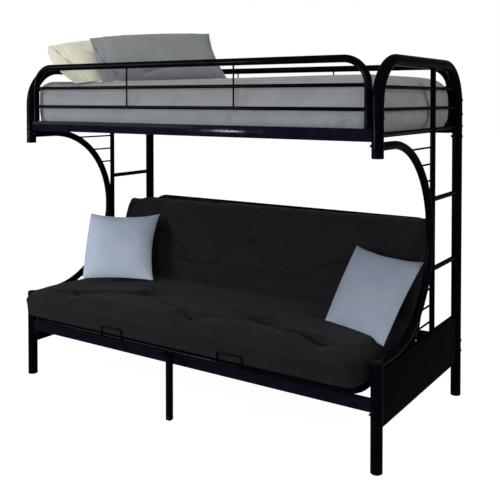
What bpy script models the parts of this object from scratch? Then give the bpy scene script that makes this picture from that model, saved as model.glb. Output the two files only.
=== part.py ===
"""Futon bunk bed with C-shaped tubular ends, built in metres with +Z up.

X runs along the bed, -Y is the front, and the floor is z = 0. The seat slides
forward between the end panels while the back folds down flat behind it.
"""

import math

import bmesh
import bpy
from mathutils import Matrix, Vector
from mathutils.bvhtree import BVHTree

# Upper mattress in a fitted sheet: the bed frame is sized around it
mattress_length = 1.930
mattress_width = 0.905
mattress_thickness = 0.238
mattress_end_gap = 0.006
mattress_side_gap = 0.0118
mattress_edge_radius = 0.050
mattress_crown = 0.012

# Bed frame: posts and heights above the floor
post_diameter = 0.049
post_wall = 0.0016
hoop_top_z = 1.653
hoop_bend_radius = 0.150
upper_leg_bottom_z = 1.240
lower_leg_top_z = 0.437

# C-shaped tube and ladder at each end
c_tube_diameter = 0.035
c_tube_wall = 0.0015
c_top_z = 1.283
c_straight_length = 0.15185
ladder_diameter = 0.0255
ladder_wall = 0.0014
ladder_setback = 0.341
rung_diameter = 0.0225
rung_wall = 0.0012
rung_lower_z = 0.690
rung_upper_z = 1.010
infill_rod_diameter = 0.009
infill_rod_pitch = 0.0755
infill_rod_drop = 0.043
infill_rod_count = 3

# Bars across each hoop, at their centres
bar_diameter = 0.016
bar_wall = 0.0012
hoop_bar_top_z = 1.517
hoop_bar_middle_z = 1.4275
hoop_bar_bottom_z = 1.3310

# Folded steel panel low in each end
panel_thickness = 0.025
panel_wall = 0.0015
panel_bottom_z = 0.170
panel_top_z = 0.404

# Rectangular rails along the bed
rail_height = 0.052
rail_width = 0.0254
rail_wall = 0.0015
upper_rail_bottom_z = 1.301
lower_rail_bottom_z = 0.2375

# Guard rails of the upper bunk
guard_diameter = 0.032
guard_wall = 0.0014
guard_top_z = 1.647
guard_bend_radius = 0.085
guard_bar_upper_z = 1.525
guard_bar_lower_z = 1.429
guard_rod_diameter = 0.008
guard_rod_spacing = 0.627

# Slats that carry the upper mattress
upper_slat_count = 11
upper_slat_width = 0.030
upper_slat_height = 0.018
upper_slat_first_gap = 0.085
ledge_width = 0.020
ledge_thickness = 0.003
ledge_height = 0.014

# Plastic end caps and feet
cap_height = 0.004
cap_plug_length = 0.018
cap_edge = 0.0015

# Seat frame of the futon
seat_overhang = 0.063
seat_tube_diameter = 0.028
seat_tube_wall = 0.0014
seat_tube_z = 0.320
seat_corner_radius = 0.090
seat_side_gap = 0.027
hinge_setback = 0.357
seat_cross_inset = 0.050
deck_slat_count = 9
deck_slat_width = 0.032
deck_slat_thickness = 0.003
deck_slat_margin = 0.110
retainer_width = 0.130
retainer_rise = 0.036
retainer_rod_diameter = 0.007
retainer_bend_radius = 0.012
retainer_offset_x = 0.345

# Centre leg that travels with the seat
centre_leg_width = 0.0254
centre_leg_wall = 0.0014
centre_leg_floor_gap = 0.0008
bracket_width = 0.052
bracket_length = 0.058
bracket_thickness = 0.003

# Runners that the seat slides in
runner_depth = 0.019
runner_height = 0.030
runner_wall = 0.002
runner_end_gap = 0.006
glide_length = 0.150
glide_running_gap = 0.0008

# Back frame of the futon, leaning back from the upright
back_lean = math.radians(29.5)
back_length = 0.622
back_side_inset = 0.008
back_corner_radius = 0.080
back_cross_rise = 0.075
hinge_pin_diameter = 0.010
hinge_pin_clearance = 0.0004
hinge_pin_head_height = 0.004
hinge_pin_head_diameter = 0.018
hinge_lug_thickness = 0.004
hinge_lug_radius = 0.015

# Futon pad, one cushion folded between seat and back
pad_overhang = 0.0585
pad_thickness = 0.135
pad_side_margin = 0.008
pad_edge_radius = 0.050
pad_crown = 0.026
pad_lower_tuck = 0.046
pad_tuck_rise = 0.042
back_pad_length = 0.575
pad_fold_gap = 0.004
tuft_depth = 0.030
tuft_reach = 0.055

# Bed pillows: a cream one leaning on the left end hoop and a grey one leaning on it
cream_pillow_length = 0.660
cream_pillow_width = 0.367
cream_pillow_turn = math.radians(56)
cream_pillow_lean = math.radians(58.5)
cream_pillow_roll = math.radians(12)
cream_pillow_end_inset = 0.2635
cream_pillow_front_inset = 0.3815
grey_pillow_length = 0.690
grey_pillow_width = 0.289
grey_pillow_turn = math.radians(55)
grey_pillow_lean = math.radians(40)
grey_pillow_roll = math.radians(5)
grey_pillow_end_inset = 0.5135
grey_pillow_front_inset = 0.4325
bed_pillow_thickness = 0.108

# Throw pillows on the futon
left_throw_length = 0.384
left_throw_width = 0.430
left_throw_turn = math.radians(40)
left_throw_lean = math.radians(46)
left_throw_roll = math.radians(-3.5)
left_throw_end_inset = 0.2745
left_throw_hinge_setback = 0.1800
right_throw_length = 0.360
right_throw_width = 0.440
right_throw_turn = math.radians(-10)
right_throw_lean = math.radians(53)
right_throw_roll = math.radians(-3)
right_throw_end_inset = 0.2475
right_throw_hinge_setback = 0.1640
throw_pillow_thickness = 0.100
pillow_rest_flat = 0.007

# Gaps and overruns shared by all pieces
seat_gap = 0.0003
cut_overrun = 0.010
weld_depth = 0.001

# Facets of round pieces
post_sides = 12
tube_sides = 10
rod_sides = 8
bend_steps = 5
c_steps = 12
lug_steps = 8
retainer_steps = 3

# Places worked out from the sizes above
post_radius = post_diameter / 2
c_radius = c_tube_diameter / 2
ladder_radius = ladder_diameter / 2
guard_radius = guard_diameter / 2
seat_tube_radius = seat_tube_diameter / 2
post_spacing_x = mattress_length + 2 * mattress_end_gap + post_diameter
post_spacing_y = mattress_width + 2 * mattress_side_gap + rail_width
post_x = post_spacing_x / 2
overall_depth = post_spacing_y + post_radius + seat_overhang + pad_overhang
rear_y = overall_depth / 2 - post_radius
front_y = rear_y - post_spacing_y
ladder_y = rear_y - ladder_setback
hoop_top_centre_z = hoop_top_z - post_radius
c_bottom_z = panel_top_z + c_radius + seat_gap
c_bend_rise = (c_top_z - c_bottom_z) / 2
c_apex_y = ladder_y - ladder_radius - c_radius - seat_gap
c_bend_start_y = front_y + c_straight_length
c_bend_reach = c_apex_y - c_bend_start_y
rail_end_x = post_x
guard_x = post_x - post_radius - guard_radius - seat_gap
guard_top_centre_z = guard_top_z - guard_radius
upper_rail_top_z = upper_rail_bottom_z + rail_height
lower_rail_top_z = lower_rail_bottom_z + rail_height
seat_front_y = front_y - seat_overhang
seat_side_x = post_x - post_radius - seat_side_gap - seat_tube_radius
hinge_y = rear_y - hinge_setback
hinge_z = seat_tube_z
back_side_x = seat_side_x - seat_tube_diameter - back_side_inset
deck_top = seat_tube_radius + seat_gap + deck_slat_thickness
pad_half_width = post_x - post_radius - pad_side_margin
panel_inner_x = post_x - panel_thickness / 2
runner_inner_x = panel_inner_x - seat_gap - runner_depth
sides = (("left", -1), ("right", 1))

scene = bpy.context.scene
for old in list(bpy.data.objects):
    bpy.data.objects.remove(old, do_unlink=True)

finishes = {
    "gloss_black_steel": ((0.006, 0.006, 0.010, 1), 0.22, 0.6),
    "black_rail_steel": ((0.012, 0.012, 0.020, 1), 0.25, 0.6),
    "black_plastic": ((0.008, 0.008, 0.009, 1), 0.5, 0.0),
    "black_zinc": ((0.015, 0.015, 0.018, 1), 0.35, 0.8),
    "plain_steel": ((0.35, 0.36, 0.38, 1), 0.3, 1.0),
    "nylon": ((0.05, 0.05, 0.055, 1), 0.45, 0.0),
    "charcoal_fabric": ((0.013, 0.013, 0.015, 1), 0.9, 0.0),
    "grey_sheet": ((0.22, 0.24, 0.26, 1), 0.85, 0.0),
    "grey_pillowcase": ((0.22, 0.24, 0.27, 1), 0.85, 0.0),
    "cream_pillowcase": ((0.66, 0.66, 0.56, 1), 0.85, 0.0),
    "pale_blue_fabric": ((0.27, 0.31, 0.37, 1), 0.85, 0.0),
}


def finish(thing, kind):
    """Gives the object a material of its own with the photographed colour."""
    colour, roughness, metallic = finishes[kind]
    material = bpy.data.materials.new(thing.name + "_" + kind)
    material.use_nodes = True
    shader = material.node_tree.nodes["Principled BSDF"]
    shader.inputs["Base Color"].default_value = colour
    shader.inputs["Roughness"].default_value = roughness
    shader.inputs["Metallic"].default_value = metallic
    material.diffuse_color = colour
    thing.data.materials.clear()
    thing.data.materials.append(material)


def carrier_empty(name, place, parent=None):
    """Adds the empty that carries one moving body, on that body's joint axis."""
    empty = bpy.data.objects.new(name, None)
    scene.collection.objects.link(empty)
    empty.parent = parent
    empty.location = place - (parent.location if parent else Vector())
    empty["world_place"] = list(place)
    return empty


def put(thing, place, carrier):
    """Links an object and places it, under its carrier if it has one."""
    scene.collection.objects.link(thing)
    thing.parent = carrier
    thing.location = place - Vector(carrier["world_place"]) if carrier else place
    return thing


def tidy_mesh(mesh, smooth=True):
    """Welds doubled points, turns faces outward and sets the shading."""
    shape = bmesh.new()
    shape.from_mesh(mesh)
    bmesh.ops.remove_doubles(shape, verts=shape.verts, dist=1e-6)
    bmesh.ops.recalc_face_normals(shape, faces=shape.faces)
    shape.to_mesh(mesh)
    shape.free()
    if smooth:
        mesh.shade_smooth()
        mesh.set_sharp_from_angle(angle=math.radians(40))


def bent_path(corners, radius, steps):
    """Rounds the inner corners of a path of points with arcs."""
    points = [corners[0]]
    for before, corner, after in zip(corners, corners[1:], corners[2:]):
        inward = (before - corner).normalized()
        outward = (after - corner).normalized()
        half_turn = inward.angle(outward) / 2
        set_back = radius / math.tan(half_turn)
        middle = corner + (inward + outward).normalized() * (radius / math.sin(half_turn))
        start = corner + inward * set_back - middle
        sweep = math.pi - 2 * half_turn
        turn_axis = inward.cross(outward).normalized()
        for step in range(steps + 1):
            turned = Matrix.Rotation(-sweep * step / steps, 3, turn_axis) @ start
            points.append(middle + turned)
    points.append(corners[-1])
    return points


def swept_mesh(name, points, radius, facets, capped):
    """Sweeps a circle along the points with a bevelled curve."""
    curve = bpy.data.curves.new(name, "CURVE")
    curve.dimensions = "3D"
    curve.bevel_depth = radius
    curve.bevel_resolution = (facets - 4) // 2
    curve.use_fill_caps = capped
    spline = curve.splines.new("POLY")
    spline.points.add(len(points) - 1)
    for point, place in zip(spline.points, points):
        point.co = (*(place - points[0]), 1)
    guide = bpy.data.objects.new(name + "_guide", curve)
    scene.collection.objects.link(guide)
    bpy.context.view_layer.update()
    mesh = bpy.data.meshes.new_from_object(guide.evaluated_get(bpy.context.evaluated_depsgraph_get()))
    bpy.data.objects.remove(guide, do_unlink=True)
    bpy.data.curves.remove(curve)
    mesh.name = name
    mesh.materials.clear()
    tidy_mesh(mesh)
    return mesh


def tube(name, points, diameter, wall, facets, kind, carrier=None):
    """Makes an open-ended hollow tube along the points."""
    mesh = swept_mesh(name, points, diameter / 2, facets, False)
    thing = put(bpy.data.objects.new(name, mesh), points[0], carrier)
    hollow = thing.modifiers.new("wall", "SOLIDIFY")
    hollow.thickness = wall
    hollow.offset = -1
    hollow.use_even_offset = True
    finish(thing, kind)
    return thing


def rod(name, points, diameter, facets, kind, carrier=None):
    """Makes a solid round rod along the points."""
    mesh = swept_mesh(name, points, diameter / 2, facets, True)
    thing = put(bpy.data.objects.new(name, mesh), points[0], carrier)
    finish(thing, kind)
    return thing


def cutter(name, points, diameter, facets):
    """Makes a hidden round cutter that leaves the seat gap around a tube."""
    mesh = swept_mesh(name, points, diameter / 2 + seat_gap, facets, True)
    return hide(put(bpy.data.objects.new(name, mesh), points[0], None))


def hide(thing):
    """Marks a cutter so that it is left out of the part."""
    thing.hide_render = True
    thing.display_type = "WIRE"
    return thing


def weld(thing, tool):
    """Joins a hidden tool's shape to an object, as a weld does."""
    step = thing.modifiers.new("weld_" + tool.name, "BOOLEAN")
    step.operation = "UNION"
    step.solver = "EXACT"
    step.object = hide(tool)
    return thing


def cut(thing, *tools):
    """Cuts the tools' shapes out of an object."""
    for tool in tools:
        step = thing.modifiers.new("cut_" + tool.name, "BOOLEAN")
        step.operation = "DIFFERENCE"
        step.solver = "EXACT"
        step.object = tool
    return thing


def box_mesh(name, blocks):
    """Makes one mesh of separate boxes, each given by its low and high corner."""
    shape = bmesh.new()
    for low, high in blocks:
        size = high - low
        frame = Matrix.Translation((low + high) / 2) @ Matrix.Diagonal((*size, 1))
        bmesh.ops.create_cube(shape, size=1, matrix=frame)
    mesh = bpy.data.meshes.new(name)
    shape.to_mesh(mesh)
    shape.free()
    return mesh


def box(name, low, high, kind, carrier=None):
    """Makes one solid box between two corners."""
    middle = (low + high) / 2
    mesh = box_mesh(name, [(low - middle, high - middle)])
    thing = put(bpy.data.objects.new(name, mesh), middle, carrier)
    finish(thing, kind)
    return thing


def boxes(name, blocks):
    """Makes one helper of several equal boxes, such as a row of slats."""
    return put(bpy.data.objects.new(name, box_mesh(name, blocks)), Vector(), None)


def square_tube(name, start, end, width_a, width_b, side_a, side_b, wall, kind, carrier=None):
    """Extrudes an open rectangular tube from start to end."""
    shape = bmesh.new()
    across = Vector(side_a) * width_a / 2
    upward = Vector(side_b) * width_b / 2
    corners = [across + upward, upward - across, -across - upward, across - upward]
    ring = [shape.verts.new(corner) for corner in corners]
    edges = [shape.edges.new((ring[i], ring[(i + 1) % 4])) for i in range(4)]
    grown = bmesh.ops.extrude_edge_only(shape, edges=edges)
    far = [item for item in grown["geom"] if isinstance(item, bmesh.types.BMVert)]
    bmesh.ops.translate(shape, verts=far, vec=end - start)
    bmesh.ops.recalc_face_normals(shape, faces=shape.faces)
    middle = (end - start) / 2
    probe = shape.faces[:][0]
    if probe.normal.dot(probe.calc_center_median() - middle) < 0:
        bmesh.ops.reverse_faces(shape, faces=shape.faces)
    mesh = bpy.data.meshes.new(name)
    shape.to_mesh(mesh)
    shape.free()
    thing = put(bpy.data.objects.new(name, mesh), start, carrier)
    hollow = thing.modifiers.new("wall", "SOLIDIFY")
    hollow.thickness = wall
    hollow.offset = -1
    hollow.use_even_offset = True
    finish(thing, kind)
    return thing


def turned(name, outline, place, direction, facets, kind, carrier=None):
    """Spins an outline of (distance along, radius) about an axis through its place."""
    shape = bmesh.new()
    along = Vector(direction).normalized()
    aside = along.orthogonal().normalized()
    points = [shape.verts.new(along * x + aside * r) for x, r in outline]
    edges = [shape.edges.new(pair) for pair in zip(points, points[1:])]
    bmesh.ops.spin(shape, geom=points + edges, cent=Vector(), axis=along, angle=math.tau, steps=facets,
                   use_duplicate=False)
    mesh = bpy.data.meshes.new(name)
    shape.to_mesh(mesh)
    shape.free()
    tidy_mesh(mesh)
    thing = put(bpy.data.objects.new(name, mesh), place, carrier)
    finish(thing, kind)
    return thing


def union_group(name, pieces, carrier=None):
    """Joins the meshes of already placed helpers into one, still as separate shapes."""
    keeper = pieces[0]
    for other in pieces[1:]:
        shape = bmesh.new()
        shape.from_mesh(keeper.data)
        start = len(shape.verts)
        shape.from_mesh(other.data)
        shape.verts.ensure_lookup_table()
        moved = shape.verts[start:]
        bmesh.ops.translate(shape, verts=moved, vec=other.location - keeper.location)
        shape.to_mesh(keeper.data)
        shape.free()
        bpy.data.objects.remove(other, do_unlink=True)
    keeper.name = name
    keeper.data.name = name
    return keeper


# End frames: hoop with rear post, short lower leg, C tube, ladder and bars

hoop_cutters = {}
leg_cutters = {}
c_cutters = {}
ladder_cutters = {}
foot_top = cap_height

for side, sign in sides:
    x = sign * post_x
    hoop_corners = [
        Vector((x, front_y, upper_leg_bottom_z)),
        Vector((x, front_y, hoop_top_centre_z)),
        Vector((x, rear_y, hoop_top_centre_z)),
        Vector((x, rear_y, foot_top)),
    ]
    hoop_line = bent_path(hoop_corners, hoop_bend_radius, bend_steps)
    hoop = tube(side + "_end_hoop", hoop_line, post_diameter, post_wall, post_sides, "gloss_black_steel")
    hoop_cutters[side] = cutter(side + "_hoop_cutter", hoop_line, post_diameter, post_sides)

    leg_line = [Vector((x, front_y, foot_top)), Vector((x, front_y, lower_leg_top_z))]
    leg = tube(side + "_front_leg", leg_line, post_diameter, post_wall, post_sides, "gloss_black_steel")
    leg_cut_line = [leg_line[0], leg_line[1] + Vector((0, 0, cap_height + c_radius))]
    leg_cutters[side] = cutter(side + "_leg_cutter", leg_cut_line, post_diameter, post_sides)

    c_line = [Vector((x, front_y, c_top_z))]
    for step in range(c_steps + 1):
        turn = math.pi / 2 - math.pi * step / c_steps
        y = c_bend_start_y + c_bend_reach * math.cos(turn)
        z = (c_top_z + c_bottom_z) / 2 + c_bend_rise * math.sin(turn)
        c_line.append(Vector((x, y, z)))
    c_line.append(Vector((x, front_y, c_bottom_z)))
    c_piece = tube(side + "_c_tube", c_line, c_tube_diameter, c_tube_wall, tube_sides, "gloss_black_steel")
    cut(c_piece, hoop_cutters[side], leg_cutters[side])
    c_cutters[side] = cutter(side + "_c_cutter", c_line, c_tube_diameter, tube_sides)

    ladder_line = [Vector((x, ladder_y, panel_top_z + seat_gap)), Vector((x, ladder_y, hoop_top_centre_z))]
    ladder = tube(side + "_ladder_post", ladder_line, ladder_diameter, ladder_wall, tube_sides,
                  "gloss_black_steel")
    cut(ladder, hoop_cutters[side])
    ladder_cutters[side] = cutter(side + "_ladder_cutter", ladder_line, ladder_diameter, tube_sides)

    for level, z in (("lower", rung_lower_z), ("upper", rung_upper_z)):
        rung_line = [Vector((x, ladder_y, z)), Vector((x, rear_y, z))]
        rung = tube(side + "_ladder_rung_" + level, rung_line, rung_diameter, rung_wall, tube_sides,
                    "gloss_black_steel")
        cut(rung, ladder_cutters[side], hoop_cutters[side])

    for level, z in (("top", hoop_bar_top_z), ("middle", hoop_bar_middle_z), ("bottom", hoop_bar_bottom_z)):
        bar_line = [Vector((x, front_y, z)), Vector((x, rear_y, z))]
        bar = tube(side + "_hoop_bar_" + level, bar_line, bar_diameter, bar_wall, rod_sides,
                   "gloss_black_steel")
        cut(bar, hoop_cutters[side])
        cut(ladder, cutter(side + "_bar_cutter_" + level, bar_line, bar_diameter, rod_sides))

    rods = []
    for index in range(infill_rod_count):
        drop = infill_rod_drop + infill_rod_pitch * index
        for z in (c_top_z - drop, c_bottom_z + drop):
            rise_share = (z - (c_top_z + c_bottom_z) / 2) / c_bend_rise
            c_y = c_bend_start_y + c_bend_reach * math.sqrt(1 - rise_share ** 2)
            rod_line = [Vector((x, c_y, z)), Vector((x, ladder_y, z))]
            rods.append(rod(side + "_rod", rod_line, infill_rod_diameter, rod_sides, "gloss_black_steel"))
    weld(ladder, union_group(side + "_infill_rods", rods))
    cut(ladder, c_cutters[side])

    panel = square_tube(
        side + "_end_panel",
        Vector((x, front_y, (panel_bottom_z + panel_top_z) / 2)),
        Vector((x, rear_y, (panel_bottom_z + panel_top_z) / 2)),
        panel_thickness, panel_top_z - panel_bottom_z, (1, 0, 0), (0, 0, 1), panel_wall,
        "gloss_black_steel",
    )
    cut(panel, hoop_cutters[side], leg_cutters[side])

# Rails along the bed, coped onto the posts

rail_levels = (("upper", upper_rail_bottom_z), ("lower", lower_rail_bottom_z))
rail_rows = (("front", front_y), ("back", rear_y))
for level, bottom in rail_levels:
    middle_z = bottom + rail_height / 2
    for row, y in rail_rows:
        rail = square_tube(
            level + "_" + row + "_rail",
            Vector((-rail_end_x, y, middle_z)),
            Vector((rail_end_x, y, middle_z)),
            rail_width, rail_height, (0, 1, 0), (0, 0, 1), rail_wall, "black_rail_steel",
        )
        front_low = level == "lower" and row == "front"
        posts = leg_cutters if front_low else hoop_cutters
        cut(rail, posts["left"], posts["right"])

# Guard rails: bent hoop, two bars and two thin rods at the front and at the back

for row, y in rail_rows:
    foot_z = upper_rail_top_z + seat_gap
    guard_corners = [
        Vector((-guard_x, y, foot_z)),
        Vector((-guard_x, y, guard_top_centre_z)),
        Vector((guard_x, y, guard_top_centre_z)),
        Vector((guard_x, y, foot_z)),
    ]
    guard_line = bent_path(guard_corners, guard_bend_radius, bend_steps)
    guard = tube(row + "_guard_hoop", guard_line, guard_diameter, guard_wall, tube_sides, "gloss_black_steel")
    guard_cutter = cutter(row + "_guard_cutter", guard_line, guard_diameter, tube_sides)
    lower_line = [Vector((-guard_x, y, guard_bar_lower_z)), Vector((guard_x, y, guard_bar_lower_z))]
    upper_line = [Vector((-guard_x, y, guard_bar_upper_z)), Vector((guard_x, y, guard_bar_upper_z))]
    lower_bar = tube(row + "_guard_bar_lower", lower_line, bar_diameter, bar_wall, rod_sides,
                     "gloss_black_steel")
    upper_bar = tube(row + "_guard_bar_upper", upper_line, bar_diameter, bar_wall, rod_sides,
                     "gloss_black_steel")
    rods = []
    for sign in (-1, 1):
        rod_x = sign * guard_rod_spacing / 2
        rod_line = [Vector((rod_x, y, guard_bar_lower_z)), Vector((rod_x, y, guard_top_centre_z))]
        rods.append(rod(row + "_rod", rod_line, guard_rod_diameter, rod_sides, "gloss_black_steel"))
        hole_line = [rod_line[0] + Vector((0, 0, bar_diameter)), rod_line[1]]
        cut(upper_bar, cutter(row + "_rod_cutter", hole_line, guard_rod_diameter, rod_sides))
    weld(lower_bar, union_group(row + "_guard_rods", rods))
    cut(lower_bar, guard_cutter)
    cut(upper_bar, guard_cutter)

# Caps in the open tube ends and feet under the posts


def cap_outline(diameter, wall, rise):
    """Half section of a plastic cap whose plug fits inside the tube."""
    plug = (diameter / 2 - wall) * math.cos(math.pi / post_sides) - seat_gap
    rim = diameter / 2 * math.cos(math.pi / post_sides)
    return [
        (-cap_plug_length, 0), (-cap_plug_length, plug), (seat_gap, plug), (seat_gap, rim),
        (rise - cap_edge, rim), (rise, rim - cap_edge), (rise, 0),
    ]


cap_shape = cap_outline(post_diameter, post_wall, cap_height)
for side, sign in sides:
    x = sign * post_x
    for name, place, direction in (
        ("_front_foot", Vector((x, front_y, foot_top)), (0, 0, -1)),
        ("_rear_foot", Vector((x, rear_y, foot_top)), (0, 0, -1)),
        ("_front_leg_cap", Vector((x, front_y, lower_leg_top_z)), (0, 0, 1)),
        ("_hoop_end_cap", Vector((x, front_y, upper_leg_bottom_z)), (0, 0, -1)),
    ):
        turned(side + name, cap_shape, place, direction, post_sides, "black_plastic")

# Frame of slats welded to two angle ledges, which lies inside the upper rails


def extruded(name, outline, start, run, kind, carrier=None):
    """Extrudes a flat outline of points, given from the start, along a run."""
    shape = bmesh.new()
    ring = [shape.verts.new(point) for point in outline]
    face = shape.faces.new(ring)
    grown = bmesh.ops.extrude_face_region(shape, geom=[face])
    far = [item for item in grown["geom"] if isinstance(item, bmesh.types.BMVert)]
    bmesh.ops.translate(shape, verts=far, vec=run)
    bmesh.ops.recalc_face_normals(shape, faces=shape.faces)
    mesh = bpy.data.meshes.new(name)
    shape.to_mesh(mesh)
    shape.free()
    thing = put(bpy.data.objects.new(name, mesh), start, carrier)
    finish(thing, kind)
    return thing


ledge_end_x = post_x - post_radius - cut_overrun
ledge_flange_z = upper_rail_bottom_z + ledge_thickness
slat_bottom_z = ledge_flange_z - weld_depth
slat_top_z = slat_bottom_z + upper_slat_height
rail_inner = {"front": front_y + rail_width / 2 + seat_gap, "back": rear_y - rail_width / 2 - seat_gap}
ledges = []
for row, inward in (("front", 1), ("back", -1)):
    angle_outline = [
        Vector((0, 0, 0)), Vector((0, inward * ledge_width, 0)),
        Vector((0, inward * ledge_width, ledge_thickness)),
        Vector((0, inward * ledge_thickness, ledge_thickness)),
        Vector((0, inward * ledge_thickness, ledge_height)), Vector((0, 0, ledge_height)),
    ]
    start = Vector((-ledge_end_x, rail_inner[row], upper_rail_bottom_z))
    ledges.append(extruded(row + "_ledge", angle_outline, start, (2 * ledge_end_x, 0, 0), "black_rail_steel"))
slat_frame, back_ledge = ledges
slat_frame.name = "upper_slat_frame"
slat_low_y = rail_inner["front"] + ledge_thickness + seat_gap
slat_high_y = rail_inner["back"] - ledge_thickness - seat_gap
slat_span = 2 * (ledge_end_x - upper_slat_first_gap)
slat_blocks = []
for index in range(upper_slat_count):
    middle_x = -slat_span / 2 + slat_span * index / (upper_slat_count - 1)
    slat_blocks.append((
        Vector((middle_x - upper_slat_width / 2, slat_low_y, slat_bottom_z)),
        Vector((middle_x + upper_slat_width / 2, slat_high_y, slat_top_z)),
    ))
weld(slat_frame, boxes("upper_slats", slat_blocks))
weld(slat_frame, back_ledge)

# Runner channels bolted inside the end panels, in which the seat's glides travel

for side, sign in sides:
    web = -sign * runner_wall
    inner = -sign * runner_depth
    half = runner_height / 2
    channel_outline = [
        Vector((0, 0, -half)), Vector((inner, 0, -half)), Vector((inner, 0, -half + runner_wall)),
        Vector((web, 0, -half + runner_wall)), Vector((web, 0, half - runner_wall)),
        Vector((inner, 0, half - runner_wall)), Vector((inner, 0, half)), Vector((0, 0, half)),
    ]
    start = Vector((sign * (panel_inner_x - seat_gap), front_y + post_radius + runner_end_gap, seat_tube_z))
    run = (0, post_spacing_y - post_diameter - 2 * runner_end_gap, 0)
    extruded(side + "_seat_runner", channel_outline, start, run, "black_rail_steel")

# Seat frame on its slide: U-shaped tube, rear cross tube, slats, retainers, leg and glides

seat_carrier = carrier_empty("seat_slide", Vector((0, hinge_y, hinge_z)))
seat_corners = [
    Vector((-seat_side_x, hinge_y, seat_tube_z)),
    Vector((-seat_side_x, seat_front_y, seat_tube_z)),
    Vector((seat_side_x, seat_front_y, seat_tube_z)),
    Vector((seat_side_x, hinge_y, seat_tube_z)),
]
seat_line = bent_path(seat_corners, seat_corner_radius, bend_steps)
pin_seat_setback = hinge_lug_radius + seat_gap
seat_line[0] = seat_line[0] - Vector((0, pin_seat_setback, 0))
seat_line[-1] = seat_line[-1] - Vector((0, pin_seat_setback, 0))
seat_tube = tube("seat_frame_tube", seat_line, seat_tube_diameter, seat_tube_wall, tube_sides,
                 "gloss_black_steel", seat_carrier)
seat_tube_cutter = cutter("seat_tube_cutter", seat_line, seat_tube_diameter, tube_sides)
seat_cross_y = hinge_y - seat_cross_inset
cross_z = seat_tube_z + seat_gap + weld_depth
cross_line = [Vector((-seat_side_x, seat_cross_y, cross_z)), Vector((seat_side_x, seat_cross_y, cross_z))]
seat_deck = tube("seat_deck", cross_line, seat_tube_diameter, seat_tube_wall, tube_sides,
                 "black_rail_steel", seat_carrier)
deck_span = 2 * (back_side_x - deck_slat_margin)
seat_slats = []
for index in range(deck_slat_count):
    middle_x = -deck_span / 2 + deck_span * index / (deck_slat_count - 1)
    seat_slats.append((
        Vector((middle_x - deck_slat_width / 2, seat_front_y, seat_tube_z + seat_tube_radius + seat_gap)),
        Vector((middle_x + deck_slat_width / 2, seat_cross_y, seat_tube_z + deck_top)),
    ))
weld(seat_deck, boxes("seat_slats", seat_slats))

for side, sign in sides:
    middle_x = sign * retainer_offset_x
    loop_y = seat_front_y - seat_tube_radius - retainer_rod_diameter / 2 - seat_gap
    low_z = seat_tube_z
    high_z = seat_tube_z + seat_tube_radius + retainer_rise
    loop_corners = [
        Vector((middle_x - retainer_width / 2, loop_y, low_z)),
        Vector((middle_x - retainer_width / 2, loop_y, high_z)),
        Vector((middle_x + retainer_width / 2, loop_y, high_z)),
        Vector((middle_x + retainer_width / 2, loop_y, low_z)),
    ]
    loop_line = bent_path(loop_corners, retainer_bend_radius, retainer_steps)
    rod(side + "_mattress_retainer", loop_line, retainer_rod_diameter, rod_sides, "gloss_black_steel",
        seat_carrier)

bracket_top = seat_tube_z - seat_tube_radius - seat_gap
bracket_plate = boxes("centre_leg_plate", [(
    Vector((-bracket_width / 2, seat_front_y - bracket_length / 2, bracket_top - bracket_thickness)),
    Vector((bracket_width / 2, seat_front_y + bracket_length / 2, bracket_top)),
)])
leg_top = bracket_top - bracket_thickness + weld_depth
leg_bottom = centre_leg_floor_gap + cap_height
centre_leg = square_tube(
    "centre_leg", Vector((0, seat_front_y, leg_bottom)), Vector((0, seat_front_y, leg_top)),
    centre_leg_width, centre_leg_width, (1, 0, 0), (0, 1, 0), centre_leg_wall, "gloss_black_steel",
    seat_carrier,
)
weld(centre_leg, bracket_plate)
leg_half = centre_leg_width / 2
plug_half = leg_half - centre_leg_wall - seat_gap
foot_shape = bmesh.new()
foot_levels = (
    (centre_leg_floor_gap, leg_half - cap_edge), (centre_leg_floor_gap + cap_edge, leg_half),
    (leg_bottom - seat_gap, leg_half), (leg_bottom - seat_gap, plug_half),
    (leg_bottom + cap_plug_length, plug_half),
)
rings = []
for z, half in foot_levels:
    corners = ((-half, -half), (half, -half), (half, half), (-half, half))
    rings.append([foot_shape.verts.new((px, py, z - leg_bottom)) for px, py in corners])
for lower_ring, upper_ring in zip(rings, rings[1:]):
    for index in range(4):
        after = (index + 1) % 4
        foot_shape.faces.new((lower_ring[index], lower_ring[after], upper_ring[after], upper_ring[index]))
foot_shape.faces.new(rings[0][::-1])
foot_shape.faces.new(rings[-1])
bmesh.ops.recalc_face_normals(foot_shape, faces=foot_shape.faces)
foot_mesh = bpy.data.meshes.new("centre_leg_foot")
foot_shape.to_mesh(foot_mesh)
foot_shape.free()
foot_place = Vector((0, seat_front_y, leg_bottom))
foot = put(bpy.data.objects.new("centre_leg_foot", foot_mesh), foot_place, seat_carrier)
finish(foot, "black_plastic")

for side, sign in sides:
    near_x = seat_side_x + seat_tube_radius + seat_gap
    far_x = panel_inner_x - seat_gap - runner_wall - glide_running_gap
    ends = sorted((sign * near_x, sign * far_x))
    half = runner_height / 2 - runner_wall - glide_running_gap
    box(
        side + "_seat_glide",
        Vector((ends[0], seat_cross_y - glide_length, seat_tube_z - half)),
        Vector((ends[1], seat_cross_y, seat_tube_z + half)),
        "nylon", seat_carrier,
    )

# Hinge between seat and back: a lug on the seat, a pin, and the back's drilled tube foot


back_carrier = carrier_empty("back_hinge", Vector((0, hinge_y, hinge_z)), seat_carrier)
back_carrier.location = Vector()
lean_axis = Matrix.Rotation(-back_lean, 3, "X")


def back_place(x, along, ahead):
    """World place of a point on the back: distance up it and distance in front of it."""
    return Vector((0, hinge_y, hinge_z)) + lean_axis @ Vector((x, -ahead, along))


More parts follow.
